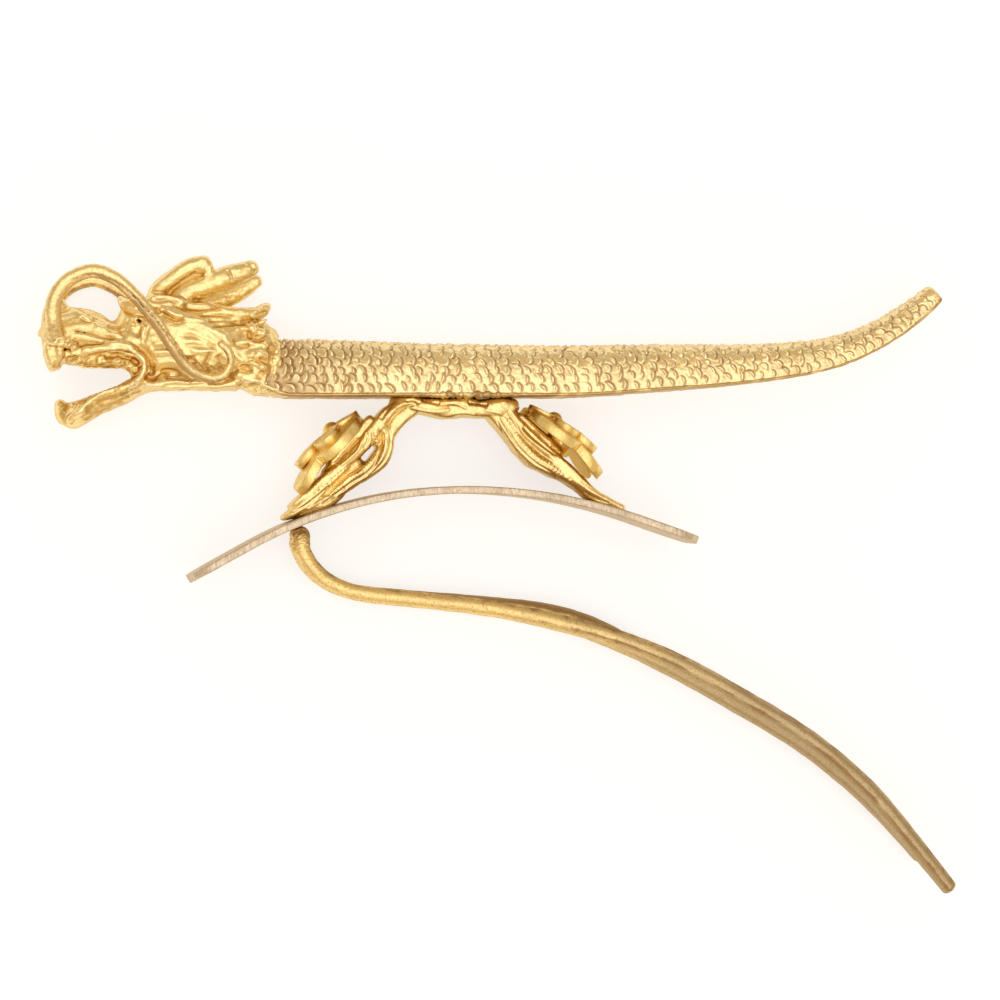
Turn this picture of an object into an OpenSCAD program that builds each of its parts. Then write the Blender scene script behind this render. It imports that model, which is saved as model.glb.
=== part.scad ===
// Cheopji: a gilt dragon on a scroll stand, on a bowed plate with a two-pronged hair fork under it.
// It lies on its right side: X runs from head to tail, Y up its back and Z out of its left side.

/* [Body] */
// Width of the body at its middle
body_w = 9.0; // [8:0.1:9.6]
// Wall of the hollow body
shell_t = 0.7; // [0.5:0.1:0.9]
// Length of one scale
scale_pitch = 1.4; // [1.2:0.1:2]
// Height that a scale stands proud
scale_h = 0.14; // [0.05:0.01:0.2]
// Thickness of the sheet that closes the body
sheet_t = 0.5; // [0.4:0.05:0.6]

/* [Head] */
// Widest part of the cheeks
head_w = 10.0; // [9:0.1:10.2]
// Distance between the two horns of a pair
horn_gap = 5.4; // [5:0.1:6]
// Height of the teeth
tooth_h = 0.3; // [0.2:0.1:0.6]

/* [Whiskers] */
// Thickness of a whisker at its root
whisker_d = 1.9; // [1.5:0.1:2.1]
// Distance between the two whiskers
whisker_gap = 10.8; // [10.6:0.1:11.4]

/* [Bridge] */
// Width of the scroll stand across the ornament
bridge_w = 5.2; // [4.6:0.1:6]

/* [Flowers] */
// Reach of the flower's lobes from its middle
flower_r = 6.55; // [6.2:0.05:6.8]
// Radius of one lobe
lobe_r = 2.7; // [2.5:0.1:2.9]
// Radius that the flower's plate is domed to
flower_dome = 18; // [16:1:24]
// Thickness of the flower's plate
flower_t = 1.15; // [0.8:0.05:1.3]

/* [Base plate] */
// Width of the plate
plate_w = 10.8; // [10.4:0.1:11.4]
// Thickness of the plate
plate_t = 0.9; // [0.7:0.1:1.1]

/* [Hair fork] */
// Thickness of the fork's wire
wire_d = 2.0; // [1.8:0.1:2.2]
// Distance between the prongs where they leave the plate
fork_gap = 8.8; // [8.4:0.1:9.2]
// How much further apart the prongs are at their tips
fork_splay = 1.0; // [0:0.1:1.4]

/* [Joints] */
// Clearance between two pieces that are soldered together
solder_gap = 0.05; // [0.03:0.01:0.1]

/* [Hidden] */

gold = "goldenrod";
brass = "darkgoldenrod";

// Middle of the whole ornament, and how far the flowers that it lies on stand out to the side
middle = [0.36, -9.46];
rest_half = (flower_r - lobe_r) * sin(72) + lobe_r;

// Body stations: x, y of the middle, half height, half width as a share of the widest
body_rows = [
    [-27.9, 15.55, 3.40, 0.95],
    [-21.0, 15.55, 3.40, 0.98],
    [-10.0, 15.45, 3.20, 1.00],
    [ 2.0, 15.40, 3.10, 1.00],
    [10.0, 15.50, 3.05, 0.98],
    [19.0, 15.95, 2.80, 0.94],
    [27.0, 16.30, 2.50, 0.88],
    [34.0, 16.85, 2.20, 0.80],
    [39.5, 17.65, 1.95, 0.72],
    [44.5, 19.25, 1.65, 0.63],
    [48.7, 21.50, 1.50, 0.55],
    [51.6, 23.55, 1.35, 0.47],
    [53.9, 25.50, 1.20, 0.40]];
body_l = body_rows[12][0] - body_rows[0][0];
body_steps = round(2 * body_l / scale_pitch / (len(body_rows) - 1));
scale_rows = 12;
// Lean of the body's front end, over this length, and how square the dome's sides and top are
front_slant = 0.31;
slant_l = 6;
dome_sides = 0.72;
dome_top = 0.80;
// The shell is hollow up to here, in this many steps
hollow_end = 47;
hollow_steps = 9;

// Whisker: x, y, share of the way out to the side, share of the root's thickness
whisker_rows = [
    [-52.3, 18.6, 0.68, 1.10],
    [-52.6, 20.4, 0.86, 1.04],
    [-52.6, 22.4, 0.97, 0.98],
    [-51.9, 24.2, 1.00, 0.92],
    [-50.3, 25.7, 1.00, 0.88],
    [-48.0, 26.4, 1.00, 0.86],
    [-45.8, 25.7, 1.00, 0.84],
    [-43.9, 24.2, 1.00, 0.80],
    [-42.2, 22.3, 1.00, 0.77],
    [-40.7, 20.3, 0.99, 0.74],
    [-39.2, 18.0, 0.98, 0.70],
    [-37.9, 16.1, 0.97, 0.66],
    [-36.4, 14.7, 0.96, 0.62],
    [-34.6, 14.1, 0.95, 0.58],
    [-33.1, 14.5, 0.95, 0.52],
    [-32.3, 15.9, 0.96, 0.48],
    [-32.5, 17.2, 0.97, 0.46],
    [-33.4, 18.1, 0.97, 0.42]];
// How far the far whisker's root is off the near one's, and the row by which they are alike
whisker_shift = [-0.9, -0.3];
alike_row = 10;

// Castings of the head: x, y, z, half height, half width
skull_rows = [
    [-44.9, 19.3, 0, 2.0, 0.56 * head_w / 2],
    [-43.2, 19.6, 0, 4.2, 0.78 * head_w / 2],
    [-40.5, 18.8, 0, 5.7, 0.94 * head_w / 2],
    [-36.5, 18.4, 0, 5.4, head_w / 2],
    [-32.5, 17.7, 0, 4.8, 0.94 * head_w / 2],
    [-29.8, 16.9, 0, 4.4, 0.88 * head_w / 2],
    [-27.0, 15.8, 0, 3.7, 0.88 * head_w / 2],
    [-25.6, 15.5, 0, 3.4, 0.84 * head_w / 2]];
snout_rows = [
    [-53.0, 17.7, 0, 1.0, 1.8],
    [-52.8, 17.9, 0, 1.9, 2.5],
    [-52.2, 18.6, 0, 2.8, 3.1],
    [-50.4, 19.3, 0, 3.2, 3.3],
    [-48.6, 19.0, 0, 3.2, 3.4],
    [-46.6, 18.5, 0, 2.6, 3.7],
    [-44.2, 18.4, 0, 2.5, 4.0],
    [-42.0, 18.6, 0, 3.0, 4.2]];
palate_rows = [
    [-52.0, 16.9, 0, 0.9, 2.6],
    [-49.5, 16.8, 0, 1.0, 3.1],
    [-46.5, 16.8, 0, 1.0, 3.5],
    [-43.5, 16.6, 0, 1.0, 3.8]];
crest_rows = [
    [-51.2, 21.5, 0, 0.9, 1.3],
    [-51.8, 22.7, 0, 0.6, 0.8],
    [-51.9, 23.6, 0, 0.3, 0.4]];
nose_rows = [
    [-52.9, 18.0, 0, 1.0, 2.2],
    [-52.9, 16.5, 0, 0.9, 2.0],
    [-52.6, 15.7, 0, 0.6, 1.4]];
jaw_rows = [
    [-40.2, 14.5, 0, 1.6, 4.0],
    [-42.6, 13.6, 0, 1.2, 3.8],
    [-45.0, 12.3, 0, 1.2, 3.6],
    [-47.4, 11.3, 0, 1.2, 3.4],
    [-49.4, 10.4, 0, 1.4, 3.1],
    [-50.8,  9.7, 0, 1.4, 2.6],
    [-51.4,  9.6, 0, 0.8, 1.8]];
chin_rows = [
    [-51.3,  9.8, 0, 0.9, 1.8],
    [-51.9, 10.9, 0, 0.7, 1.3],
    [-52.2, 11.3, 0, 0.5, 0.8]];
// Teeth: first and last place and level, how many a side, and the first one's place across
tooth_row = [-50.2, -44.6, 15.6];
teeth = 5;
tooth_z = 2.4;
eye = [-43.1, 20.9, 3.6];
eye_r = 0.75;

// Horns and hair of one side: x, y, z from the middle, half height, half width
ear_rows = [
    [-41.0, 23.3, 0.42 * horn_gap, 1.1, 1.0],
    [-40.2, 24.7, 0.46 * horn_gap, 1.0, 1.0],
    [-38.3, 26.2, 0.50 * horn_gap, 1.0, 1.0],
    [-36.2, 27.7, 0.52 * horn_gap, 1.1, 0.9],
    [-35.0, 27.9, 0.52 * horn_gap, 0.9, 0.7]];
antler_rows = [
    [-38.6, 23.6, 0.40 * horn_gap, 1.5, 1.2],
    [-35.8, 24.6, 0.46 * horn_gap, 1.35, 1.2],
    [-33.2, 25.7, 0.50 * horn_gap, 1.15, 1.1],
    [-31.2, 26.6, 0.54 * horn_gap, 1.05, 1.0],
    [-29.8, 27.2, 0.54 * horn_gap, 0.9, 0.8]];
bent_antler_rows = [
    [-37.6, 23.0, -0.40 * horn_gap, 1.4, 1.2],
    [-34.4, 23.4, -0.46 * horn_gap, 1.15, 1.1],
    [-32.0, 24.4, -0.50 * horn_gap, 0.85, 1.0],
    [-30.4, 25.3, -0.54 * horn_gap, 0.8, 0.9],
    [-29.2, 26.0, -0.54 * horn_gap, 0.7, 0.8]];
brow_rows = [
    [-45.0, 23.4, 2.2, 0.4, 0.5],
    [-44.1, 22.6, 2.8, 0.9, 0.9],
    [-42.6, 22.4, 3.2, 1.0, 1.0],
    [-40.4, 23.0, 3.2, 0.9, 1.0],
    [-38.0, 22.8, 3.2, 0.6, 0.7]];
lip_rows = [
    [-51.2, 17.0, 2.9, 0.5, 0.5],
    [-48.6, 17.3, 3.4, 0.5, 0.5],
    [-45.8, 17.9, 3.8, 0.45, 0.5],
    [-43.4, 17.5, 4.0, 0.45, 0.5],
    [-42.1, 16.2, 4.1, 0.5, 0.6],
    [-42.2, 14.6, 4.0, 0.5, 0.6],
    [-44.3, 13.1, 3.8, 0.4, 0.5],
    [-47.3, 11.9, 3.5, 0.4, 0.5],
    [-49.6, 10.2, 3.0, 0.4, 0.5],
    [-50.9,  9.3, 2.4, 0.4, 0.5]];
crown_lock = [
    [-38.5, 22.0, 2.2, 0.9, 1.0],
    [-35.0, 21.9, 2.7, 0.9, 1.0],
    [-31.5, 21.6, 2.7, 0.8, 0.9],
    [-29.4, 21.9, 2.3, 0.7, 0.7]];
temple_lock = [
    [-41.0, 21.4, 3.9, 0.6, 0.6],
    [-38.0, 20.9, 4.3, 0.7, 0.6],
    [-34.7, 20.8, 4.3, 0.6, 0.6],
    [-31.2, 20.8, 3.9, 0.5, 0.6],
    [-29.9, 21.1, 3.6, 0.3, 0.4]];
gill_lock = [
    [-38.6, 19.7, 4.5, 0.5, 0.5],
    [-36.2, 19.5, 4.7, 0.6, 0.5],
    [-34.2, 18.6, 4.7, 0.6, 0.5],
    [-31.8, 18.4, 4.2, 0.6, 0.5],
    [-30.0, 19.2, 3.9, 0.4, 0.4]];
cheek_lock = [
    [-40.4, 17.2, 4.5, 0.5, 0.5],
    [-37.5, 16.6, 4.7, 0.6, 0.5],
    [-33.5, 15.6, 4.5, 0.6, 0.5],
    [-30.2, 16.4, 4.1, 0.4, 0.4]];
throat_lock = [
    [-42.0, 13.7, 3.8, 0.4, 0.5],
    [-39.2, 14.5, 4.2, 0.6, 0.5],
    [-35.6, 13.9, 4.0, 0.6, 0.5],
    [-31.4, 13.6, 3.6, 0.5, 0.5]];
top_lock = [
    [-32.0, 21.9, 0, 0.9, 1.6],
    [-29.8, 22.1, 0, 0.7, 1.2],
    [-28.4, 22.5, 0, 0.5, 0.8],
    [-27.8, 22.8, 0, 0.4, 0.5]];

// Level of the body's underside over the stand
body_under = 12.25;
// Strands of the scroll stand: x, y, z, half height, half width as a share of the stand's
bridge_bar = [
    [-12.6, 11.4, 0, 0.80, 0.85],
    [-11.2, 11.4, 0, 0.95, 1.00],
    [ -9.4, 11.0, 0, 0.95, 0.95],
    [ -6.8, 10.8, 0, 1.15, 1.00],
    [ -4.6, 11.1, 0, 1.15, 1.00],
    [ -2.4, 10.7, 0, 0.95, 0.95],
    [ -0.3, 10.9, 0, 1.20, 1.00],
    [  1.4, 11.1, 0, 0.80, 0.85]];
front_outer = [
    [-12.0, 11.3, 0, 0.80, 0.90],
    [-13.6, 10.2, 0, 0.90, 0.95],
    [-15.1,  8.5, 0, 0.95, 1.00],
    [-16.6,  6.7, 0, 1.00, 1.00],
    [-18.4,  4.8, 0, 0.95, 1.00],
    [-20.3,  2.7, 0, 0.90, 1.00],
    [-22.3,  0.6, 0, 0.85, 1.00],
    [-24.4, -1.0, 0, 0.70, 1.00],
    [-25.8, -1.8, 0, 0.45, 0.80]];
front_inner = [
    [-10.4, 11.0, 0, 0.90, 0.90],
    [-12.2,  9.7, 0, 1.00, 0.90],
    [-13.4,  7.9, 0, 0.80, 0.95],
    [-13.9,  6.2, 0, 1.00, 1.00],
    [-14.7,  4.7, 0, 1.10, 1.00],
    [-16.1,  3.5, 0, 1.00, 1.00],
    [-17.9,  2.4, 0, 0.95, 1.00],
    [-19.5,  1.2, 0, 0.90, 0.95],
    [-21.0,  0.0, 0, 0.70, 0.85]];
// Webs that close the slit between the two strands, above and below the diamond-shaped hole
front_web_top = [
    [-14.2,  8.6, 0, 0.70, 0.80],
    [-15.1,  7.0, 0, 0.70, 0.80]];
front_web_foot = [
    [-17.4,  3.9, 0, 0.80, 0.80],
    [-19.4,  2.0, 0, 0.80, 0.80]];
rear_outer = [
    [ 0.0, 11.2, 0, 0.80, 0.90],
    [ 1.4,  9.4, 0, 0.95, 0.95],
    [ 3.3,  7.5, 0, 1.00, 1.00],
    [ 5.5,  5.5, 0, 1.00, 1.00],
    [ 7.7,  3.7, 0, 0.95, 1.00],
    [ 9.6,  2.0, 0, 0.85, 1.00],
    [11.4,  0.6, 0, 0.60, 1.00],
    [13.2, -0.4, 0, 0.50, 0.90],
    [14.7, -1.2, 0, 0.40, 0.75]];
rear_inner = [
    [-1.2, 10.5, 0, 0.90, 0.90],
    [ 0.4,  8.8, 0, 0.95, 0.90],
    [ 1.6,  7.2, 0, 0.90, 0.95],
    [ 2.8,  5.9, 0, 1.05, 1.00],
    [ 4.2,  4.7, 0, 1.00, 1.00],
    [ 6.1,  3.8, 0, 1.00, 1.00],
    [ 7.9,  2.9, 0, 0.85, 0.95],
    [ 9.6,  1.6, 0, 0.70, 0.90],
    [10.8,  0.5, 0, 0.60, 0.80]];
// Two beads across, this many times down the front leg: first and last bead
bead_row = [[-13.9, 9.7], [-19.6, 1.9]];
beads = 6;

// Flowers: middle of the flower on the stand, the way that it faces, and the boss behind it
front_seat = [-20.0, 5.6];
front_facing = 138.3;
rear_seat = [6.8, 6.9];
rear_facing = 50.5;
boss_r = 1.6;
boss_h = 2;
flower_top = 2.0;
// Down-slope shift of the five lobes; size, place and droop of the petals and knob above them
flower_shift = 0.35;
petal_r = 1.8;
petal_out = 3.1;
petal_t = 0.8;
petal_droop = 8;
petal_sink = 0.5;
petal_shift = 0.6;
bloom_tilt = -7;
knob_r = 1.1;
knob_lift = 0.5;
knob_shift = 1.2;

// Bowed plate: crown of its upper face, radius, angle and straight end of each bow, ends and corners
plate_crown = [-4.6, 1.65];
plate_front_r = 53;
plate_front_a = 29;
plate_front_flat = 10;
plate_rear_r = 64;
plate_rear_a = 19;
plate_rear_flat = 8;
plate_ends = [-37.4, 23.8];
plate_corner = 3;

// Fork: x, y and thickness of each prong as a share of the wire's, from the plate to the tip
left_prong = [
    [-23.6, -6.2, 0.95], [-22.4, -8.1, 0.95], [-20.2, -10.0, 0.95], [-17.2, -11.0, 0.95],
    [-8.2, -12.0, 0.95], [0.4, -13.2, 1.0], [11.2, -15.8, 1.05], [19.8, -19.0, 1.1],
    [29.5, -24.2, 1.1], [37.6, -29.3, 1.1], [44.3, -35.1, 1.15], [49.1, -40.7, 1.1], [54.2, -46.9, 0.95]];
right_prong = [
    [-23.4, -6.3, 0.95], [-22.1, -8.2, 0.95], [-19.8, -10.2, 0.95], [-16.8, -11.3, 0.95],
    [-7.9, -12.1, 0.95], [4.0, -13.3, 1.05], [11.4, -15.5, 1.45], [19.5, -19.4, 1.1],
    [29.0, -24.6, 1.05], [38.1, -30.1, 1.0], [44.9, -35.4, 1.0], [50.4, -40.9, 0.95], [54.0, -45.1, 0.9]];
// Where the wire crosses under the plate, its thickness there and the radius of its two corners
fork_root = -23.5;
root_share = 0.95;
corner_r = 1.2;

function unit(v) = v / norm(v);

// A smooth curve through the rows of a table, with n steps from row to row
function between(a, b, c, d, t) =
    0.5 * (2 * b + (c - a) * t + (2 * a - 5 * b + 4 * c - d) * t * t + (3 * b - a - 3 * c + d) * t * t * t);
function smooth(rows, n) = let (k = len(rows) - 1) concat(
    [for (i = [0:k - 1], j = [0:n - 1])
        between(rows[max(i - 1, 0)], rows[i], rows[i + 1], rows[min(i + 2, k)], j / n)],
    [rows[k]]);

function xyz(rows) = [for (r = rows) [r[0], r[1], r[2]]];
function tangents(path) = let (k = len(path) - 1)
    [for (i = [0:k]) unit(path[min(i + 1, k)] - path[max(i - 1, 0)])];

// The crosswise direction at each point of a path, carried along it without twisting
function carried(along, i = 0, out = []) = i == len(along) ? out :
    let (last = i == 0 ? [0, 0, 1] : out[i - 1])
    carried(along, i + 1, concat(out, [unit(last - (last * along[i]) * along[i])]));

// Faces of a tube of rings with n points each, closed at both ends
function tube_faces(rings, n) = concat(
    [[for (k = [n - 1:-1:0]) k]],
    [for (i = [0:rings - 2], k = [0:n - 1])
        let (a = i * n + k, b = i * n + (k + 1) % n) [a, b, b + n, a + n]],
    [[for (k = [0:n - 1]) (rings - 1) * n + k]]);

// Round off a row's end: two more rows beyond it, each smaller
function end_rows(row, along, sign) = [for (a = [35, 68])
    [for (j = [0:4]) j < 3 ? row[j] + sign * along[j] * row[3] * sin(a) : row[j] * cos(a)]];
function rounded(rows) = let (t = tangents(xyz(rows)), k = len(rows) - 1,
        head = end_rows(rows[0], t[0], -1), tail = end_rows(rows[k], t[k], 1))
    concat([head[1], head[0]], rows, tail);

// An oval tube with round ends through a table of x, y, z, half height and half width
module strand(rows, n = 2, sides = 8, grow = 0) {
    line = rounded([for (r = smooth(rows, n)) [r[0], r[1], r[2], r[3] + grow, r[4] + grow]]);
    path = xyz(line);
    along = tangents(path);
    side = carried(along);
    points = [for (i = [0:len(path) - 1], k = [0:sides - 1]) path[i]
        + side[i] * line[i][4] * cos(360 * k / sides)
        + cross(side[i], along[i]) * line[i][3] * sin(360 * k / sides)];
    polyhedron(points, tube_faces(len(path), sides));
}

// The same strand on both sides of the ornament
module both_sides() {
    children();
    mirror([0, 0, 1]) children();
}

// Everything is drawn about the ornament's middle plane, then laid on its right side
module laid_down() translate([-middle[0], -middle[1], rest_half]) children();

// Body stations: place, unit vector along it, half height, half width
function body_line() = let (rows = smooth(body_rows, body_steps),
        t = tangents([for (r = rows) [r[0], r[1], 0]]))
    [for (i = [0:len(rows) - 1]) [[rows[i][0], rows[i][1], 0], t[i], rows[i][2], rows[i][3] * body_w / 2]];

// A point of the body's section: p is [across, up], and the first stations lean with the collar
function on_body(s, p) = let (up = cross([0, 0, 1], s[1]),
        lean = front_slant * max(0, 1 - (s[0][0] - body_rows[0][0]) / slant_l))
    s[0] + up * p[1] + [lean * p[1], 0, p[0]];

// The dome's outline at angle a, with steep sides
function dome(s, a, lift, foot) = let (h = 2 * s[2] - foot, c = cos(a), q = sin(a))
    [(s[3] + lift) * sign(c) * pow(abs(c), dome_sides), -s[2] + foot + (h + lift) * pow(abs(q), dome_top)];

function whisker_line(side, grow) = [for (i = [0:len(whisker_rows) - 1])
    let (r = whisker_rows[i], shift = side < 0 ? max(0, 1 - i / alike_row) : 0, thick = r[3] * whisker_d / 2)
    [r[0] + shift * whisker_shift[0], r[1] + shift * whisker_shift[1], side * r[2] * whisker_gap / 2,
        thick + grow, thick * 0.8 + grow]];

// One wire whisker, from the lip up over the snout and down to a curl on the cheek
module whisker(side, grow = 0) strand(whisker_line(side, grow));

module whisker_left() color(gold) laid_down() whisker(1);
module whisker_right() color(gold) laid_down() whisker(-1);

// One tooth, pointing down from the upper lip
module tooth(x, z) translate([x, tooth_row[2], z]) hull() {
    translate([-0.3, 0, -0.3]) cube([0.6, 1, 0.6]);
    translate([-0.1, -tooth_h, -0.1]) cube(0.2);
}

// Half space behind the slanted joint between the head and the body
module behind_collar()
    translate([body_rows[0][0] - 2 * solder_gap, body_rows[0][1], 0]) rotate(-atan(front_slant))
    translate([0, -2 * head_w, -head_w]) cube([2 * head_w, 4 * head_w, 2 * head_w]);

module dragon_head() color(gold) laid_down() difference() {
    union() {
        strand(skull_rows, sides = 12);
        strand(snout_rows);
        strand(palate_rows, sides = 6);
        strand(crest_rows, sides = 6);
        strand(nose_rows);
        strand(jaw_rows);
        strand(chin_rows, sides = 6);
        strand(top_lock, sides = 6);
        strand(bent_antler_rows, sides = 6);
        strand(antler_rows);
        both_sides() {
            strand(ear_rows);
            strand(brow_rows, sides = 6);
            for (fold = [lip_rows, crown_lock, temple_lock, gill_lock, cheek_lock, throat_lock])
                strand(fold, n = 1, sides = 6);
            translate(eye) sphere(eye_r, $fn = 10);
            for (i = [0:teeth - 1])
                tooth(tooth_row[0] + (tooth_row[1] - tooth_row[0]) * i / (teeth - 1), tooth_z + 0.2 * i);
        }
    }
    whisker(1, solder_gap);
    whisker(-1, solder_gap);
    behind_collar();
}

// The domed upper shell with its scales, hollow over the closing sheet
module body_shell() color(gold) laid_down() {
    foot = sheet_t + solder_gap;
    line = body_line();
    k = len(line) - 1;
    n = scale_rows;
    points = [for (i = [0:k], j = [0:n])
        let (proud = i > 0 && i < k && j > 0 && j < n && (i + j) % 2 == 0 ? scale_h : 0)
        on_body(line[i], dome(line[i], 180 * j / n, proud, foot))];
    hollow = [for (r = line) if (r[0][0] < hollow_end) r];
    step = floor(len(hollow) / hollow_steps);
    difference() {
        polyhedron(points, tube_faces(k + 1, n + 1));
        for (i = [0:hollow_steps - 1]) hull() {
            hollow_slice(hollow[max(i * step, 1)], foot);
            hollow_slice(hollow[(i + 1) * step], foot);
        }
    }
}

// A thin slice of the body's hollow
module hollow_slice(s, foot) {
    inner = [s[0], s[1], s[2] - shell_t / 2, s[3] - shell_t];
    n = 6;
    for (j = [0:n])
        let (drop = j % n == 0 ? foot + 0.25 : shell_t / 2)
        translate(on_body(inner, dome(inner, 180 * j / n, 0, 0) - [0, drop])) cube(0.02, center = true);
}

// The flat sheet soldered under the shell
module body_sheet() color(gold) laid_down() {
    line = [for (i = [0:3:len(body_line()) - 1]) body_line()[i]];
    points = [for (s = line, p = [[1, 0], [1, 1], [-1, 1], [-1, 0]])
        on_body(s, [p[0] * s[3], -s[2] + p[1] * sheet_t])];
    polyhedron(points, tube_faces(len(line), 4));
}

function bridge_line(rows) = [for (r = rows) [r[0], r[1], r[2], r[3], r[4] * bridge_w / 2]];

// One bead of the beaded line down the leg
module bead(p) translate([p[0], p[1], 0.30 * bridge_w]) hull() {
    cube([0.9, 0.9, 0.8], center = true);
    cube([0.5, 0.5, 1.3], center = true);
}

// The cast scroll stand: a bar under the body and two openwork legs, cut to fit what they are soldered to
module bridge() color(gold) laid_down() difference() {
    union() {
        for (rows = [bridge_bar, front_outer, front_inner, rear_outer, rear_inner])
            strand(bridge_line(rows));
        for (rows = [front_web_top, front_web_foot]) strand(bridge_line(rows), n = 1, sides = 6);
        for (i = [0:beads - 1])
            both_sides() bead(bead_row[0] + (bead_row[1] - bead_row[0]) * i / (beads - 1));
        for (seat = [[front_seat, front_facing], [rear_seat, rear_facing]])
            translate(seat[0]) rotate([0, 0, seat[1]]) rotate([0, 90, 0])
                cylinder(h = 2 * boss_h, r = boss_r, center = true, $fn = 16);
    }
    translate([0, body_under - solder_gap + bridge_w, 0])
        cube([body_l, 2 * bridge_w, 2 * bridge_w], center = true);
    flower_room(front_seat, front_facing);
    flower_room(rear_seat, rear_facing);
    plate_bow(solder_gap);
}

// Space behind a flower's domed plate
module flower_room(seat, facing) translate(seat) rotate([0, 0, facing]) rotate([0, 90, 0])
    intersection() {
        cylinder(h = flower_r * 2, r = flower_r + 2 * flower_shift, center = true, $fn = 24);
        translate([0, 0, flower_top - flower_dome])
            difference() {
                sphere(flower_dome + flower_r, $fn = 40);
                sphere(flower_dome - flower_t - solder_gap, $fn = 40);
            }
    }

// One flower: a domed plate with five lobes, five cupped petals and a knob, soldered together
module flower(seat, facing, down) color(gold) laid_down()
    translate(seat) rotate([0, 0, facing]) rotate([0, 90, 0]) rotate([0, 0, down]) {
        intersection() {
            translate([flower_shift, 0]) linear_extrude(height = flower_r, center = true) {
                circle(flower_r - lobe_r, $fn = 32);
                for (a = [36:72:360]) rotate(a) translate([flower_r - lobe_r, 0]) circle(lobe_r, $fn = 32);
            }
            translate([0, 0, flower_top - flower_dome]) rotate([90, 0, 0]) difference() {
                sphere(flower_dome, $fn = 96);
                sphere(flower_dome - flower_t, $fn = 96);
            }
        }
        translate([-petal_shift, 0, flower_top - petal_sink]) rotate([0, bloom_tilt, 0]) {
            for (a = [36:72:360]) rotate(a) translate([petal_out, 0, 0]) rotate([0, petal_droop, 0])
                cylinder(h = petal_t, r = petal_r, $fn = 24);
            cylinder(h = petal_t, r = petal_r, $fn = 24);
            translate([-knob_shift, 0, knob_lift]) rotate([90, 0, 0]) sphere(knob_r, $fn = 24);
        }
    }

module flower_front() flower(front_seat, front_facing, 90);
module flower_rear() flower(rear_seat, rear_facing, -90);

// A point of the bowed plate's side, at angle a before (way -1) or behind its crown, off above its upper face
function bow(r, off, a, way) = plate_crown + [way * (r + off) * sin(a), (r + off) * cos(a) - r];

// One face of the plate from end to end, with a straight stretch g longer at both ends
function bow_face(off, g) = concat(
    [bow(plate_front_r, off, plate_front_a, -1)
        - (plate_front_flat + g) * [cos(plate_front_a), sin(plate_front_a)]],
    [for (a = [plate_front_a:-5:0]) bow(plate_front_r, off, a, -1)],
    [for (i = [1:4]) bow(plate_rear_r, off, i * plate_rear_a / 4, 1)],
    [bow(plate_rear_r, off, plate_rear_a, 1)
        + (plate_rear_flat + g) * [cos(plate_rear_a), -sin(plate_rear_a)]]);

// Side outline of the bowed plate, grown by g all round
module plate_side(g) {
    over = bow_face(g, g);
    under = bow_face(-plate_t - g, g);
    polygon(concat(over, [for (i = [len(under) - 1:-1:0]) under[i]]));
}

// The bowed plate's form over its whole width, grown by g all round
module plate_bow(g) linear_extrude(height = plate_w + 2 * g, center = true) plate_side(g);

// The bowed plate that sits on the hair, with round ends
module base_plate() color(brass) laid_down() intersection() {
    plate_bow(0);
    rotate([90, 0, 0]) linear_extrude(height = plate_front_r, center = true) plate_plan();
}

// Outline of the plate from above, before it is bent
module plate_plan() {
    long = plate_ends[1] - plate_ends[0];
    translate([plate_ends[0], -plate_w / 2 + plate_corner]) square([long, plate_w - 2 * plate_corner]);
    translate([plate_ends[0] + plate_corner, -plate_w / 2]) square([long - 2 * plate_corner, plate_w]);
    for (x = [plate_ends[0] + plate_corner, plate_ends[1] - plate_corner], way = [-1, 1])
        translate([x, way * (plate_w / 2 - plate_corner)]) circle(plate_corner, $fn = 32);
}

// One prong, and the short corner that turns it in under the plate
function prong(rows, side) = let (line = smooth(rows, 2), k = len(line) - 1)
    [for (i = [0:k]) [line[i][0], line[i][1], side * (fork_gap + fork_splay * i / k) / 2,
        line[i][2] * wire_d / 2, line[i][2] * wire_d / 2]];
function corner(side, a) = let (r = root_share * wire_d / 2, reach = fork_root - plate_crown[0],
        bar_r = plate_front_r - plate_t - solder_gap - r,
        crown = plate_crown[1] - plate_front_r + sqrt(bar_r * bar_r - reach * reach))
    [fork_root, crown - corner_r * (1 - sin(a)), side * (fork_gap / 2 - corner_r * (1 - cos(a))), r, r];
function reversed(rows) = [for (i = [len(rows) - 1:-1:0]) rows[i]];

// The two-pronged fork, one wire bent under the plate
module hair_fork() color(brass) laid_down() {
    line = rounded(concat(reversed(prong(left_prong, 1)),
        [for (a = [30, 60, 90]) corner(1, a)], [for (a = [90, 60, 30]) corner(-1, a)],
        prong(right_prong, -1)));
    path = xyz(line);
    along = tangents(path);
    side = carried(along);
    n = 10;
    points = [for (i = [0:len(path) - 1], k = [0:n - 1]) path[i]
        + side[i] * line[i][4] * cos(360 * k / n) + cross(side[i], along[i]) * line[i][3] * sin(360 * k / n)];
    polyhedron(points, tube_faces(len(path), n));
}

dragon_head();
whisker_left();
whisker_right();
body_shell();
body_sheet();
bridge();
flower_front();
flower_rear();
base_plate();
hair_fork();
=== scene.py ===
import math

import bpy
import numpy as np
from mathutils import Matrix, Vector, noise


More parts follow.
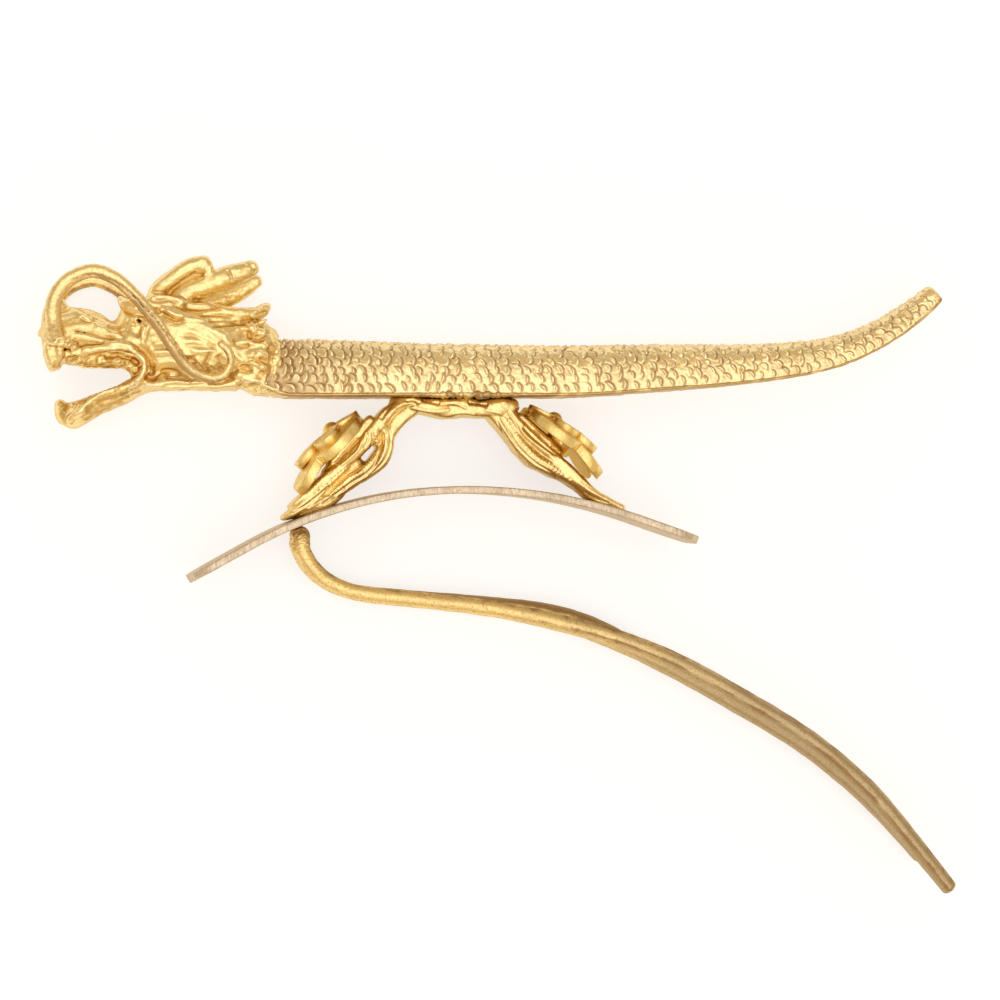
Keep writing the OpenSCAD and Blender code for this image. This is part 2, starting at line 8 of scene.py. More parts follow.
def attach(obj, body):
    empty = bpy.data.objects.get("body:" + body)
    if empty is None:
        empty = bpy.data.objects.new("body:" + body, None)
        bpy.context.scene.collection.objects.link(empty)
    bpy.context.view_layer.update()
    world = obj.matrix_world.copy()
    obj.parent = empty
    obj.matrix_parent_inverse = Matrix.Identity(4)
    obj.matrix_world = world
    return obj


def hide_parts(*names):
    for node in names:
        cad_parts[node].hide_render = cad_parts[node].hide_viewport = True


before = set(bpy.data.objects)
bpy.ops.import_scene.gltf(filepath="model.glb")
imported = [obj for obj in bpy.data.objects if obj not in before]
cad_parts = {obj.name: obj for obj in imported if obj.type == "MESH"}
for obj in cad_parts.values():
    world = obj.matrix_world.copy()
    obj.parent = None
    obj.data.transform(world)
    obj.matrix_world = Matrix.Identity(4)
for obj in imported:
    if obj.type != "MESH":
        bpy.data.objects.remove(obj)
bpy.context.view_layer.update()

# Camera and table. The ornament lies on its right side on a pale table, and the camera looks
# down at its left side, turned a little towards the head, as the picture was taken.
camera_data = bpy.data.cameras.new("camera")
camera_data.lens = 90
camera_data.sensor_width = 36
camera_data.clip_start = 0.01
camera = bpy.data.objects.new("camera", camera_data)
bpy.context.scene.collection.objects.link(camera)
bpy.context.scene.camera = camera
camera_at = Vector((-0.04211, 0.00946, 0.30344))
looked_at = Vector((-0.00036, 0.00946, 0.00636))
back = (camera_at - looked_at).normalized()
right = Vector((0, 1, 0)).cross(back).normalized()
camera.matrix_world = Matrix((
    (right.x, 0, back.x, camera_at.x), (right.y, 1, back.y, camera_at.y),
    (right.z, 0, back.z, camera_at.z), (0, 0, 0, 1)))


def colour(r, g, b):
    return (r, g, b, 1)


table_reach = 3
table_mesh = bpy.data.meshes.new("table")
corners = [(x * table_reach, y * table_reach, 0) for x, y in ((-1, -1), (1, -1), (1, 1), (-1, 1))]
table_mesh.from_pydata(corners, [], [(0, 1, 2, 3)])
table = bpy.data.objects.new("table", table_mesh)
bpy.context.scene.collection.objects.link(table)
table_paper = bpy.data.materials.new("table_paper")
table_paper.use_nodes = True
paper = table_paper.node_tree.nodes["Principled BSDF"].inputs
paper["Base Color"].default_value = colour(0.45, 0.45, 0.45)
paper["Roughness"].default_value = 0.9
paper["Emission Color"].default_value = colour(1, 1, 1)
paper["Emission Strength"].default_value = 0.66
table_mesh.materials.append(table_paper)


class Flow:
    """One socket of a material's nodes. Arithmetic on it adds Math nodes."""

    def __init__(self, tree, socket=None):
        self.tree, self.socket = tree, socket

    def node(self, kind, inputs, out=0, **settings):
        """A node of that type, with its settings first and then the value or link of each socket."""
        made = self.tree.nodes.new("ShaderNode" + kind)
        for name, value in settings.items():
            setattr(made, name, value)
        for name, value in inputs.items():
            if isinstance(value, Flow):
                self.tree.links.new(value.socket, made.inputs[name])
            else:
                made.inputs[name].default_value = value
        return Flow(self.tree, made.outputs[out])

    def maths(self, operation, *values):
        return self.node("Math", dict(enumerate(values)), operation=operation)

    def __add__(self, other):
        return self.maths("ADD", self, other)

    def __radd__(self, other):
        return self.maths("ADD", other, self)

    def __sub__(self, other):
        return self.maths("SUBTRACT", self, other)

    def __rsub__(self, other):
        return self.maths("SUBTRACT", other, self)

    def __mul__(self, other):
        return self.maths("MULTIPLY", self, other)

    def __rmul__(self, other):
        return self.maths("MULTIPLY", other, self)

    def between(self, low, high):
        """0 below low and 1 above high, with a smooth step."""
        return self.node("MapRange", {"Value": self, "From Min": low, "From Max": high},
                         interpolation_type="SMOOTHSTEP")

    def mix(self, a, b):
        """Colour a where this is 0 and b where it is 1."""
        return self.node("Mix", {0: self, 6: a, 7: b}, out=2, data_type="RGBA")


# White tent all round: bright overhead and near the table, dimmer and warmer in the ring between. It is
# a little brighter on the side below the ornament's fork and dimmer on the side above its back.
world = bpy.data.worlds.new("studio")
bpy.context.scene.world = world
world.use_nodes = True
tent = Flow(world.node_tree)
toward = tent.node("TexCoord", {}, out=0)
height = tent.node("SeparateXYZ", {0: toward}, out=2)
sideways = tent.node("SeparateXYZ", {0: toward}, out=1)
overhead, low_down = height.between(0.62, 1.0), 1 - height.between(0.02, 0.30)
ring_light, top_light, low_light, fork_light, back_shade = 0.66, 0.87, 0.25, 0.12, 0.28
light = ring_light + overhead * top_light + low_down * low_light
light = light + (0 - sideways).between(0.0, 0.7) * fork_light
light = light - sideways.between(-0.3, 0.7) * (0.02 + low_down * back_shade)
shade = (1 - overhead) * (1 - low_down)
walls = shade.mix(colour(1.0, 0.99, 0.97), colour(1.0, 0.83, 0.57))
background = world.node_tree.nodes["Background"]
world.node_tree.links.new(light.socket, background.inputs["Strength"])
world.node_tree.links.new(walls.socket, background.inputs["Color"])
bpy.context.scene.view_settings.view_transform = "Standard"


# Head: cast brass from a carved wax, filed and gilt. The mouth is open, the horns lie back and
# the mane runs into the rough collar where the head is soldered to the body.
# All sizes are millimetres, drawn standing: x from head to tail, y up the back, z to the left.
table_level = -6.36
lying_at = (0.36, -9.46, table_level - 0.0016)


def placed(points):
    """From the drawing's millimetres to where the ornament lies, in metres."""
    return (np.asarray(points, float) - lying_at) / 1000


def unit(v):
    return v / np.maximum(np.linalg.norm(v, axis=-1, keepdims=True), 1e-9)


def curve_through(rows, steps):
    """A smooth curve through the rows of a table, with this many steps from row to row."""
    rows = np.array(rows, float)
    last = len(rows) - 1
    t = np.arange(steps)[:, None] / steps
    made = []
    for i in range(last):
        a, b, c, d = rows[max(i - 1, 0)], rows[i], rows[i + 1], rows[min(i + 2, last)]
        made.append(0.5 * (2 * b + (c - a) * t + (2 * a - 5 * b + 4 * c - d) * t ** 2
                           + (3 * b - a - 3 * c + d) * t ** 3))
    return np.vstack(made + [rows[-1:]])


def tube(rows, steps=6, sides=14, tips=(30, 55, 75, 88), square=1.0, blunt=1.0):
    """A closed oval tube with round ends: x, y, z, half height and half width in each row.
    The section is an oval where square is 1, and nearer to a block below that. tips are the angles of
    the rings that round off the ends, and blunt is below 1 for flatter ends."""
    line = curve_through(rows, steps)
    path, size = line[:, :3], np.abs(line[:, 3:5])
    along = unit(np.gradient(path, axis=0))
    across, last = np.zeros_like(path), np.array([0, 0, 1.0])
    for i, a in enumerate(along):
        last = unit(last - (last @ a) * a)
        across[i] = last
    up = np.cross(across, along)
    turn = 2 * math.pi * np.arange(sides) / sides
    wide, high = (np.sign(v) * np.abs(v) ** square for v in (np.cos(turn), np.sin(turn)))
    rings = [(path[i], i, 1.0) for i in range(len(path))]
    for a in np.radians(tips):
        rings.insert(0, (path[0] - along[0] * blunt * size[0, 0] * math.sin(a), 0, math.cos(a)))
        rings.append((path[-1] + along[-1] * blunt * size[-1, 0] * math.sin(a), len(path) - 1,
                      math.cos(a)))
    points = np.vstack([middle + np.outer(wide * size[i, 1] * k, across[i])
                        + np.outer(high * size[i, 0] * k, up[i]) for middle, i, k in rings])
    faces = [(r * sides + k, r * sides + (k + 1) % sides, (r + 1) * sides + (k + 1) % sides,
              (r + 1) * sides + k) for r in range(len(rings) - 1) for k in range(sides)]
    faces.append(tuple(range(sides - 1, -1, -1)))
    faces.append(tuple((len(rings) - 1) * sides + k for k in range(sides)))
    return points, faces


def blob(middle, radii, rings=8, sides=12):
    """A closed egg of these three half sizes."""
    points, faces = [], []
    for i in range(1, rings):
        a = math.pi * i / rings
        for k in range(sides):
            b = 2 * math.pi * k / sides
            points.append((math.sin(a) * math.cos(b), math.cos(a), math.sin(a) * math.sin(b)))
    points += [(0, 1, 0), (0, -1, 0)]
    top, foot = len(points) - 2, len(points) - 1
    for i in range(rings - 2):
        for k in range(sides):
            n = (k + 1) % sides
            faces.append((i * sides + k, i * sides + n, (i + 1) * sides + n, (i + 1) * sides + k))
    for k in range(sides):
        n = (k + 1) % sides
        faces.append((top, n, k))
        faces.append((foot, (rings - 2) * sides + k, (rings - 2) * sides + n))
    return np.array(points) * radii + middle, faces


def joined(parts):
    """Several closed forms as one list of points and faces."""
    points, faces, start = [], [], 0
    for p, f in parts:
        points.append(p)
        faces += [tuple(int(v) + start for v in face) for face in f]
        start += len(p)
    return np.vstack(points), faces


def mirrored(part):
    """The same form on the other side of the ornament."""
    points, faces = part
    return points * (1, 1, -1), [face[::-1] for face in faces]


class Skin:
    """The surface of one casting, in the drawing's millimetres: points that are pushed in and out."""

    def __init__(self, points, quads):
        a, b, c, d = (points[quads[:, i]] for i in range(4))
        inside_out = (np.cross(b, c) * a + np.cross(c, d) * a).sum() < 0
        self.points, self.quads = points, quads[:, ::-1] if inside_out else quads
        self.pairs = np.vstack([quads[:, [i, (i + 1) % 4]] for i in range(4)])
        self.count = np.bincount(self.pairs[:, 0], minlength=len(points))[:, None]
        self.hollow = np.zeros(len(points))
        self.aim()

    def aim(self):
        """Which way each point faces."""
        p, q = self.points, self.quads
        facing = np.cross(p[q[:, 2]] - p[q[:, 0]], p[q[:, 3]] - p[q[:, 1]])
        total = np.zeros_like(p)
        for i in range(4):
            for k in range(3):
                total[:, k] += np.bincount(q[:, i], facing[:, k], len(p))
        self.normal = unit(total)

    def spread(self, values):
        """The mean of each point's neighbours."""
        a, b = self.pairs.T
        total = [np.bincount(a, values[b, k], len(self.points)) for k in range(values.shape[1])]
        return np.stack(total, axis=1) / np.maximum(self.count, 1)

    def ease(self, rounds, share=0.5):
        for _ in range(rounds):
            self.points += share * (self.spread(self.points) - self.points)
        self.aim()

    def push(self, height):
        self.points = self.points + self.normal * np.asarray(height)[:, None]

    def line(self, path, height, width, side=0, fade=0.15, steps=6, beads=0):
        """How high a raised line stands (or a groove, below 0) on the side that faces out, along a path
        of x and y. side is 1 for the left alone, -1 for the right alone, 0 for both and None for all the
        way round. fade is the share of its length over which each end runs out, beads how many it has."""
        path = curve_through(path, steps)[:, :2]
        reach = 2.6 * width
        near = np.flatnonzero((self.points[:, :2] > path.min(0) - reach).all(1)
                              & (self.points[:, :2] < path.max(0) + reach).all(1))
        p = self.points[near, :2]
        best, place = np.full(len(p), 99.0), np.zeros(len(p))
        for i, (a, b) in enumerate(zip(path[:-1], path[1:])):
            way = b - a
            t = np.clip((p - a) @ way / max(way @ way, 1e-9), 0, 1)
            d = np.hypot(*(p - a - t[:, None] * way).T)
            closer = d < best
            best[closer], place[closer] = d[closer], (i + t[closer]) / (len(path) - 1)
        facing = 1
        if side is not None:
            out = self.normal[near, 2] * (side or np.sign(self.points[near, 2]))
            facing = np.clip((out - 0.05) / 0.4, 0, 1)
        ends = np.clip(np.minimum(place, 1 - place) / max(fade, 1e-6), 0, 1) if fade else 1
        if beads:
            ends = ends * (0.55 - 0.45 * np.cos(2 * math.pi * beads * place))
        amount = np.zeros(len(self.points))
        amount[near] = height * np.exp(-(best / width) ** 2) * facing * ends
        return amount

    def grain(self, size, seed=0.0):
        """Smooth noise from -1 to 1 in lumps of this size."""
        shifted = self.points / size + seed
        return np.array([noise.noise(Vector(p)) for p in shifted]) * 1.6

    def find_hollows(self, rounds, scale):
        """Where the surface lies below or above its surroundings, near by and farther round: 1 in a
        hollow, -1 on an edge."""
        calm, below = self.points.copy(), 0
        for times in (1, 4):
            for _ in range(rounds * times):
                calm += 0.7 * (self.spread(calm) - calm)
            depth = np.einsum("ij,ij->i", calm - self.points, self.normal) / scale / times ** 0.7
            below = below + 0.6 * np.clip(depth, -1, 1)
        self.hollow = np.clip(below, -1, 1)


def lofted(rings):
    """A closed skin over rings of equally many points, an even number. Both ends are closed flat."""
    count, n = rings.shape[:2]
    order, points = list(range(count)), [rings.reshape(-1, 3)]
    for end in (0, count - 1):
        middle = rings[end].mean(axis=0)
        for k in (0.8, 0.5, 0.2):
            order.insert(len(order) if end else 0, len(points) - 1 + count)
            points.append(middle + k * (rings[end] - middle))
    quads = [(a * n + k, a * n + (k + 1) % n, b * n + (k + 1) % n, b * n + k)
             for a, b in zip(order[:-1], order[1:]) for k in range(n)]
    for i, way in ((order[0], -1), (order[-1], 1)):
        quads += [(i * n, i * n + k, i * n + k + 1, i * n + k + 2)[::way] for k in range(1, n - 2, 2)]
    return Skin(np.vstack(points), np.array(quads))


def cast(parts, voxel):
    """One skin over overlapping closed forms, as when the wax parts are melted together."""
    points, faces = joined(parts)
    mesh = bpy.data.meshes.new("wax")
    mesh.from_pydata(points.tolist(), [], faces)
    wax = bpy.data.objects.new("wax", mesh)
    bpy.context.scene.collection.objects.link(wax)
    skin = wax.modifiers.new("skin", "REMESH")
    skin.mode, skin.voxel_size, skin.adaptivity = "VOXEL", voxel, 0
    done = wax.evaluated_get(bpy.context.evaluated_depsgraph_get()).to_mesh()
    found = np.empty(len(done.vertices) * 3, np.float32)
    done.vertices.foreach_get("co", found)
    loops = np.empty(len(done.loops), np.int32)
    done.loops.foreach_get("vertex_index", loops)
    bpy.data.objects.remove(wax)
    points, quads = found.reshape(-1, 3).astype(float), loops.reshape(-1, 4)
    # Only the outer skin is kept, not the closed pockets inside
    label = np.arange(len(points))
    a, b = np.vstack([quads[:, [0, 1]], quads[:, [1, 2]], quads[:, [2, 3]], quads[:, [3, 0]]]).T
    while True:
        low = label.copy()
        np.minimum.at(low, a, label[b])
        np.minimum.at(low, b, label[a])
        low = low[low]
        if (low == label).all():
            break
        label = low
    kept = np.flatnonzero(label == np.bincount(label).argmax())
    new = np.full(len(points), -1)
    new[kept] = np.arange(len(kept))
    quads = new[quads]
    return Skin(points[kept], quads[(quads >= 0).all(1)])


def show(name, skin, material, slot, *nodes):
    """The finished piece: it rides on the ornament and stands for its CAD nodes. A quad that names a
    point twice is a triangle."""
    mesh = bpy.data.meshes.new(name)
    faces = [tuple(dict.fromkeys(quad)) for quad in skin.quads.tolist()]
    mesh.from_pydata(placed(skin.points).tolist(), [], faces)
    mesh.shade_smooth()
    mesh.materials.append(material)
    hollow = mesh.attributes.new("hollow", "FLOAT", "POINT").data
    hollow.foreach_set("value", skin.hollow.astype(np.float32))
    piece = bpy.data.objects.new(name, mesh)
    bpy.context.scene.collection.objects.link(piece)
    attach(piece, "root")
    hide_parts(*nodes)


def satin_gold(name, bright, dark, roughness, shade_and_grime, specks, at_collar=0, tip=None, filed=0):
    """Gilt or polished metal: paler on edges, with wear and a painted highlight, browner in hollows, with
    painted shade and soiling, and with fine scratches and pits. shade_and_grime is how dark its hollows
    are, specks how much of it is dotted dark, at_collar how strong the stain beside the head is, tip the
    colour that it turns to towards the fork's tips, and filed how strong its file marks are. Past 1.2 the
    hollow value turns it to near black, as painted shade in pits and soiling packed in a groove.
    The noise is placed in metres, so its scales are high."""
    black, wear_and_highlight_share = colour(0.03, 0.02, 0.01), 0.35
    material = bpy.data.materials.new(name)
    material.use_nodes = True
    tree = material.node_tree
    shader = tree.nodes["Principled BSDF"]
    flow = Flow(tree)
    place = flow.node("TexCoord", {}, out=3)
    x, y = (flow.node("SeparateXYZ", {0: place}, out=i) for i in (0, 1))
    hollow = flow.node("Attribute", {}, out=2, attribute_name="hollow")
    broad = flow.node("TexNoise", {"Vector": place, "Scale": 260, "Detail": 4, "Roughness": 0.6})
    fine = flow.node("TexNoise", {"Vector": place, "Scale": 1900, "Detail": 3, "Roughness": 0.65})
    satin = flow.node("TexNoise", {"Vector": place, "Scale": 4200, "Detail": 2, "Roughness": 0.6})
    # Painted shade, with some dirt: the hollow value darkens creases, undersides and turned-away sides
    # towards the dark colour
    shade_and_dirt = (hollow + (broad - 0.5) * 0.9).between(0.05, 0.8) * shade_and_grime
    if at_collar:
        zone = (1 - (x + (broad - 0.5) * 0.012).between(-0.0262, -0.0180)) * at_collar
        stain = zone * (fine * 0.5 + broad * 0.9 + hollow * 0.9 - (y - 0.026) * 45).between(0.10, 1.05)
        shade_and_dirt = shade_and_dirt.maths("MAXIMUM", shade_and_dirt, stain)
    # Edges turn paler: partly wear, partly a painted highlight
    wear_and_highlight = (0 - hollow + (fine - 0.5) * 0.6).between(0.4, 1.0)
    body = broad.between(0.35, 0.7).mix(colour(*bright), colour(*[0.9 * c for c in bright]))
    if tip:
        body = (x + (broad - 0.5) * 0.012).between(-0.006, 0.034).mix(body, colour(*tip))
    body = (wear_and_highlight * 0.4).mix(body, colour(*[c + wear_and_highlight_share * (1 - c) for c in bright]))
    body = shade_and_dirt.mix(body, colour(*dark))
    body = (satin.between(0.50, 0.72) * specks).mix(body, colour(*dark))
    # Painted shade: past 1.2 the colour goes to black, for the eye pit and the casting's pores; on the
    # whisker it is dirt packed in the groove
    body = hollow.between(1.2, 2.0).mix(body, black)
    rough = roughness + (fine - 0.5) * 0.25 + (satin - 0.5) * 0.3 + (broad - 0.5) * 0.12 + shade_and_dirt * 0.15
    height = fine * 0.5 + satin * 0.9
    if filed:
        across = flow.node("VectorMath", {0: place, 1: (1.0, 0.22, 0.3)}, operation="MULTIPLY")
        marks = flow.node("TexNoise", {"Vector": across, "Scale": 5000, "Detail": 2, "Roughness": 0.6})
        body = (marks.between(0.42, 0.62) * filed).mix(body, colour(*dark))
        height = height + marks * 0.8
    tree.links.new(body.socket, shader.inputs["Base Color"])
    tree.links.new(rough.socket, shader.inputs["Roughness"])
    shader.inputs["Metallic"].default_value = 1.0
    # Gold stays golden where it is seen at a flat angle
    shader.inputs["Specular Tint"].default_value = colour(0.86, 0.76, 0.60)
    bump = flow.node("Bump", {"Height": height, "Strength": 0.8, "Distance": 0.00004})
    tree.links.new(bump.socket, shader.inputs["Normal"])
    return material


# Castings on the middle line, the two antlers and the horns' web: x, y, z, half height, half width
skull = [(-44.9, 19.3, 0, 2.0, 2.8), (-43.2, 19.6, 0, 4.2, 3.9), (-40.5, 18.8, 0, 5.7, 4.7),
         (-36.5, 18.4, 0, 5.4, 5.0), (-32.5, 17.7, 0, 4.8, 4.7), (-29.8, 16.9, 0, 4.4, 4.4),
         (-28.5, 16.1, 0, 3.75, 4.3), (-27.9, 15.8, 0, 3.4, 4.2)]
solder = [(-28.7, 16.0, 0, 3.6, 4.3), (-27.8, 15.7, 0, 3.5, 4.45), (-27.3, 15.55, 0, 3.35, 4.3)]
snout = [(-53.0, 17.7, 0, 1.0, 1.8), (-52.8, 17.9, 0, 1.9, 2.5), (-52.2, 18.6, 0, 2.8, 3.1),
         (-50.4, 19.3, 0, 3.2, 3.3), (-48.6, 19.0, 0, 3.2, 3.4), (-46.6, 18.5, 0, 2.6, 3.7),
         (-44.2, 18.4, 0, 2.5, 4.0), (-42.0, 18.6, 0, 3.0, 4.2)]
palate = [(-52.0, 16.9, 0, 0.9, 2.6), (-49.5, 16.8, 0, 1.0, 3.1), (-46.5, 16.8, 0, 1.0, 3.5),
          (-43.5, 16.6, 0, 1.0, 3.8)]
snout_crest = [(-51.2, 21.5, 0, 0.9, 1.3), (-51.8, 22.7, 0, 0.6, 0.8), (-51.9, 23.6, 0, 0.3, 0.4)]
nose = [(-52.3, 18.2, 0, 1.7, 2.3), (-52.6, 17.0, 0, 1.5, 2.1), (-52.8, 16.1, 0, 1.0, 1.6),
        (-52.9, 15.6, 0, 0.5, 1.1)]
jaw = [(-40.2, 14.5, 0, 1.6, 4.0), (-42.6, 13.6, 0, 1.2, 3.8), (-45.0, 12.3, 0, 1.2, 3.6),
       (-47.4, 11.3, 0, 1.2, 3.4), (-49.4, 10.4, 0, 1.45, 3.1), (-50.6, 9.9, 0, 1.6, 2.6),
       (-51.4, 9.9, 0, 1.2, 2.0)]
chin = [(-51.4, 9.9, 0, 1.1, 1.9), (-51.8, 10.7, 0, 0.95, 1.6), (-52.0, 11.1, 0, 0.75, 1.3)]
far_antler = [(-36.6, 22.9, -2.2, 1.2, 1.2), (-34.3, 23.4, -2.5, 1.25, 1.1),
              (-32.4, 24.2, -2.7, 1.25, 1.1), (-30.5, 25.2, -2.8, 1.1, 1.0),
              (-29.1, 26.1, -2.9, 0.9, 0.9)]
antler = [(-38.2, 23.8, 2.1, 1.3, 1.3), (-36.7, 24.5, 2.4, 1.4, 1.3), (-34.4, 25.4, 2.7, 1.4, 1.3),
          (-31.6, 26.5, 2.9, 1.25, 1.2), (-29.9, 27.1, 2.9, 1.0, 1.0)]
horn_web = [(-39.6, 24.2, 1.6, 1.0, 1.3), (-37.6, 25.3, 1.9, 1.0, 1.3), (-35.8, 26.5, 2.1, 0.9, 1.2)]
top_lock = [(-32.0, 21.9, 0, 0.9, 1.6), (-30.2, 21.8, 0, 0.85, 1.4), (-29.0, 22.1, 0, 0.8, 1.3),
            (-28.3, 22.5, 0, 0.75, 1.1), (-27.9, 22.8, 0, 0.6, 0.9)]
# Solder under the throat, run on to the body's underside
throat = [(-31.2, 13.9, 0, 0.6, 3.6), (-30.0, 13.9, 0, 0.65, 3.9), (-29.0, 14.0, 0, 0.6, 4.2),
          (-28.2, 13.45, 0, 0.6, 4.4), (-27.2, 12.95, 0, 0.5, 4.45), (-26.3, 12.6, 0, 0.34, 4.35),
          (-25.5, 12.4, 0, 0.2, 4.2)]
# The same on both sides
horn = [(-41.1, 23.4, 2.1, 1.0, 1.0), (-40.6, 24.5, 2.4, 1.0, 1.0), (-39.2, 25.7, 2.8, 1.05, 1.05),
        (-37.0, 27.1, 3.0, 1.1, 1.0), (-35.5, 27.6, 3.0, 1.0, 0.9)]
brow = [(-45.0, 23.4, 2.2, 0.4, 0.5), (-44.1, 22.6, 2.8, 0.9, 0.9), (-42.6, 22.4, 3.2, 1.0, 1.0),
        (-40.4, 23.0, 3.2, 0.9, 1.0), (-38.0, 22.8, 3.2, 0.6, 0.7)]
lip = [(-51.2, 17.0, 2.9, 0.5, 0.5), (-48.6, 17.3, 3.4, 0.5, 0.5), (-45.8, 17.9, 3.8, 0.45, 0.5),
       (-43.4, 17.5, 4.0, 0.45, 0.5), (-42.1, 16.2, 4.1, 0.5, 0.6), (-42.2, 14.6, 4.0, 0.5, 0.6),
       (-44.3, 13.1, 3.8, 0.4, 0.5), (-47.3, 11.9, 3.5, 0.4, 0.5), (-49.6, 10.2, 3.0, 0.4, 0.5),
       (-50.9, 9.3, 2.4, 0.4, 0.5)]
locks = [
    [(-38.5, 22.2, 2.2, 0.9, 1.0), (-35.0, 22.1, 2.6, 0.9, 1.0), (-31.5, 21.8, 2.6, 0.8, 0.9),
     (-29.4, 22.0, 2.2, 0.7, 0.7)],
    [(-40.2, 22.1, 3.6, 0.7, 0.7), (-38.0, 21.2, 3.9, 0.9, 0.7), (-35.3, 20.2, 4.1, 0.9, 0.7),
     (-33.4, 19.1, 4.2, 0.8, 0.7), (-32.0, 17.8, 4.1, 0.6, 0.6)],
    [(-42.0, 13.5, 3.6, 0.4, 0.5), (-39.2, 13.6, 4.0, 0.6, 0.5), (-35.6, 13.6, 3.9, 0.6, 0.5),
     (-31.4, 13.6, 3.6, 0.5, 0.5)]]
eye = (-43.1, 20.9, 3.6)
nostril = (-49.0, 21.3, 2.1)

# The whiskers' roots, the nose, the gums with their teeth, the knob on the horn, and the collar's
# nodules and spur
root = [(-52.7, 20.8, 4.5, 0.85, 0.8), (-52.65, 19.6, 4.0, 0.85, 0.9), (-52.5, 18.6, 3.3, 0.75, 0.8),
        (-52.3, 17.7, 2.4, 0.7, 0.8)]
nose_wing = [(-53.0, 17.9, 2.8, 0.9, 0.9), (-52.9, 16.9, 3.0, 0.9, 0.9), (-52.9, 16.0, 2.6, 0.75, 0.8),
             (-53.0, 15.5, 2.0, 0.5, 0.5)]
nose_crown = [(-53.5, 17.9, 3.1, 0.5, 0.6), (-52.6, 18.4, 3.9, 0.5, 0.6), (-51.4, 18.3, 4.0, 0.6, 0.6),
              (-50.3, 17.8, 3.6, 0.5, 0.5)]
nose_facet = [(-51.9, 17.6, 3.6, 0.5, 0.5), (-52.0, 16.7, 3.4, 0.55, 0.5), (-52.4, 15.7, 2.7, 0.45, 0.4)]
gum = [(-51.3, 16.6, 2.2, 0.55, 0.6), (-49.6, 16.3, 2.7, 0.65, 0.6), (-47.0, 16.2, 3.1, 0.65, 0.6),
       (-44.8, 16.1, 3.4, 0.6, 0.6), (-43.3, 15.3, 3.6, 0.6, 0.6)]
horn_knob = [(-35.2, 27.8, 3.0, 0.75, 0.7), (-34.9, 27.0, 3.2, 0.75, 0.7), (-34.8, 26.2, 3.2, 0.65, 0.6)]
nodules = [[(-31.2, 18.3, 3.9, 0.5, 0.5), (-29.6, 18.2, 4.1, 0.75, 0.6), (-28.5, 17.9, 4.0, 0.6, 0.5)],
           [(-30.6, 16.9, 4.1, 0.6, 0.5), (-29.0, 16.9, 4.3, 0.7, 0.6), (-28.3, 16.6, 4.2, 0.5, 0.5)],
           [(-30.0, 15.9, 4.2, 0.5, 0.5), (-28.9, 15.4, 4.2, 0.75, 0.6), (-28.3, 14.8, 4.1, 0.5, 0.5)],
           [(-31.6, 14.7, 3.9, 0.5, 0.5), (-30.0, 14.4, 4.0, 0.6, 0.5), (-28.6, 14.0, 3.9, 0.6, 0.5)],
           [(-31.6, 19.9, 3.6, 0.5, 0.5), (-30.0, 19.8, 3.8, 0.55, 0.5), (-28.6, 19.4, 3.7, 0.5, 0.5)]]
spur = [(-29.0, 20.6, 2.0, 0.4, 0.4), (-28.4, 21.0, 2.1, 0.28, 0.28), (-27.9, 21.3, 2.1, 0.15, 0.15)]

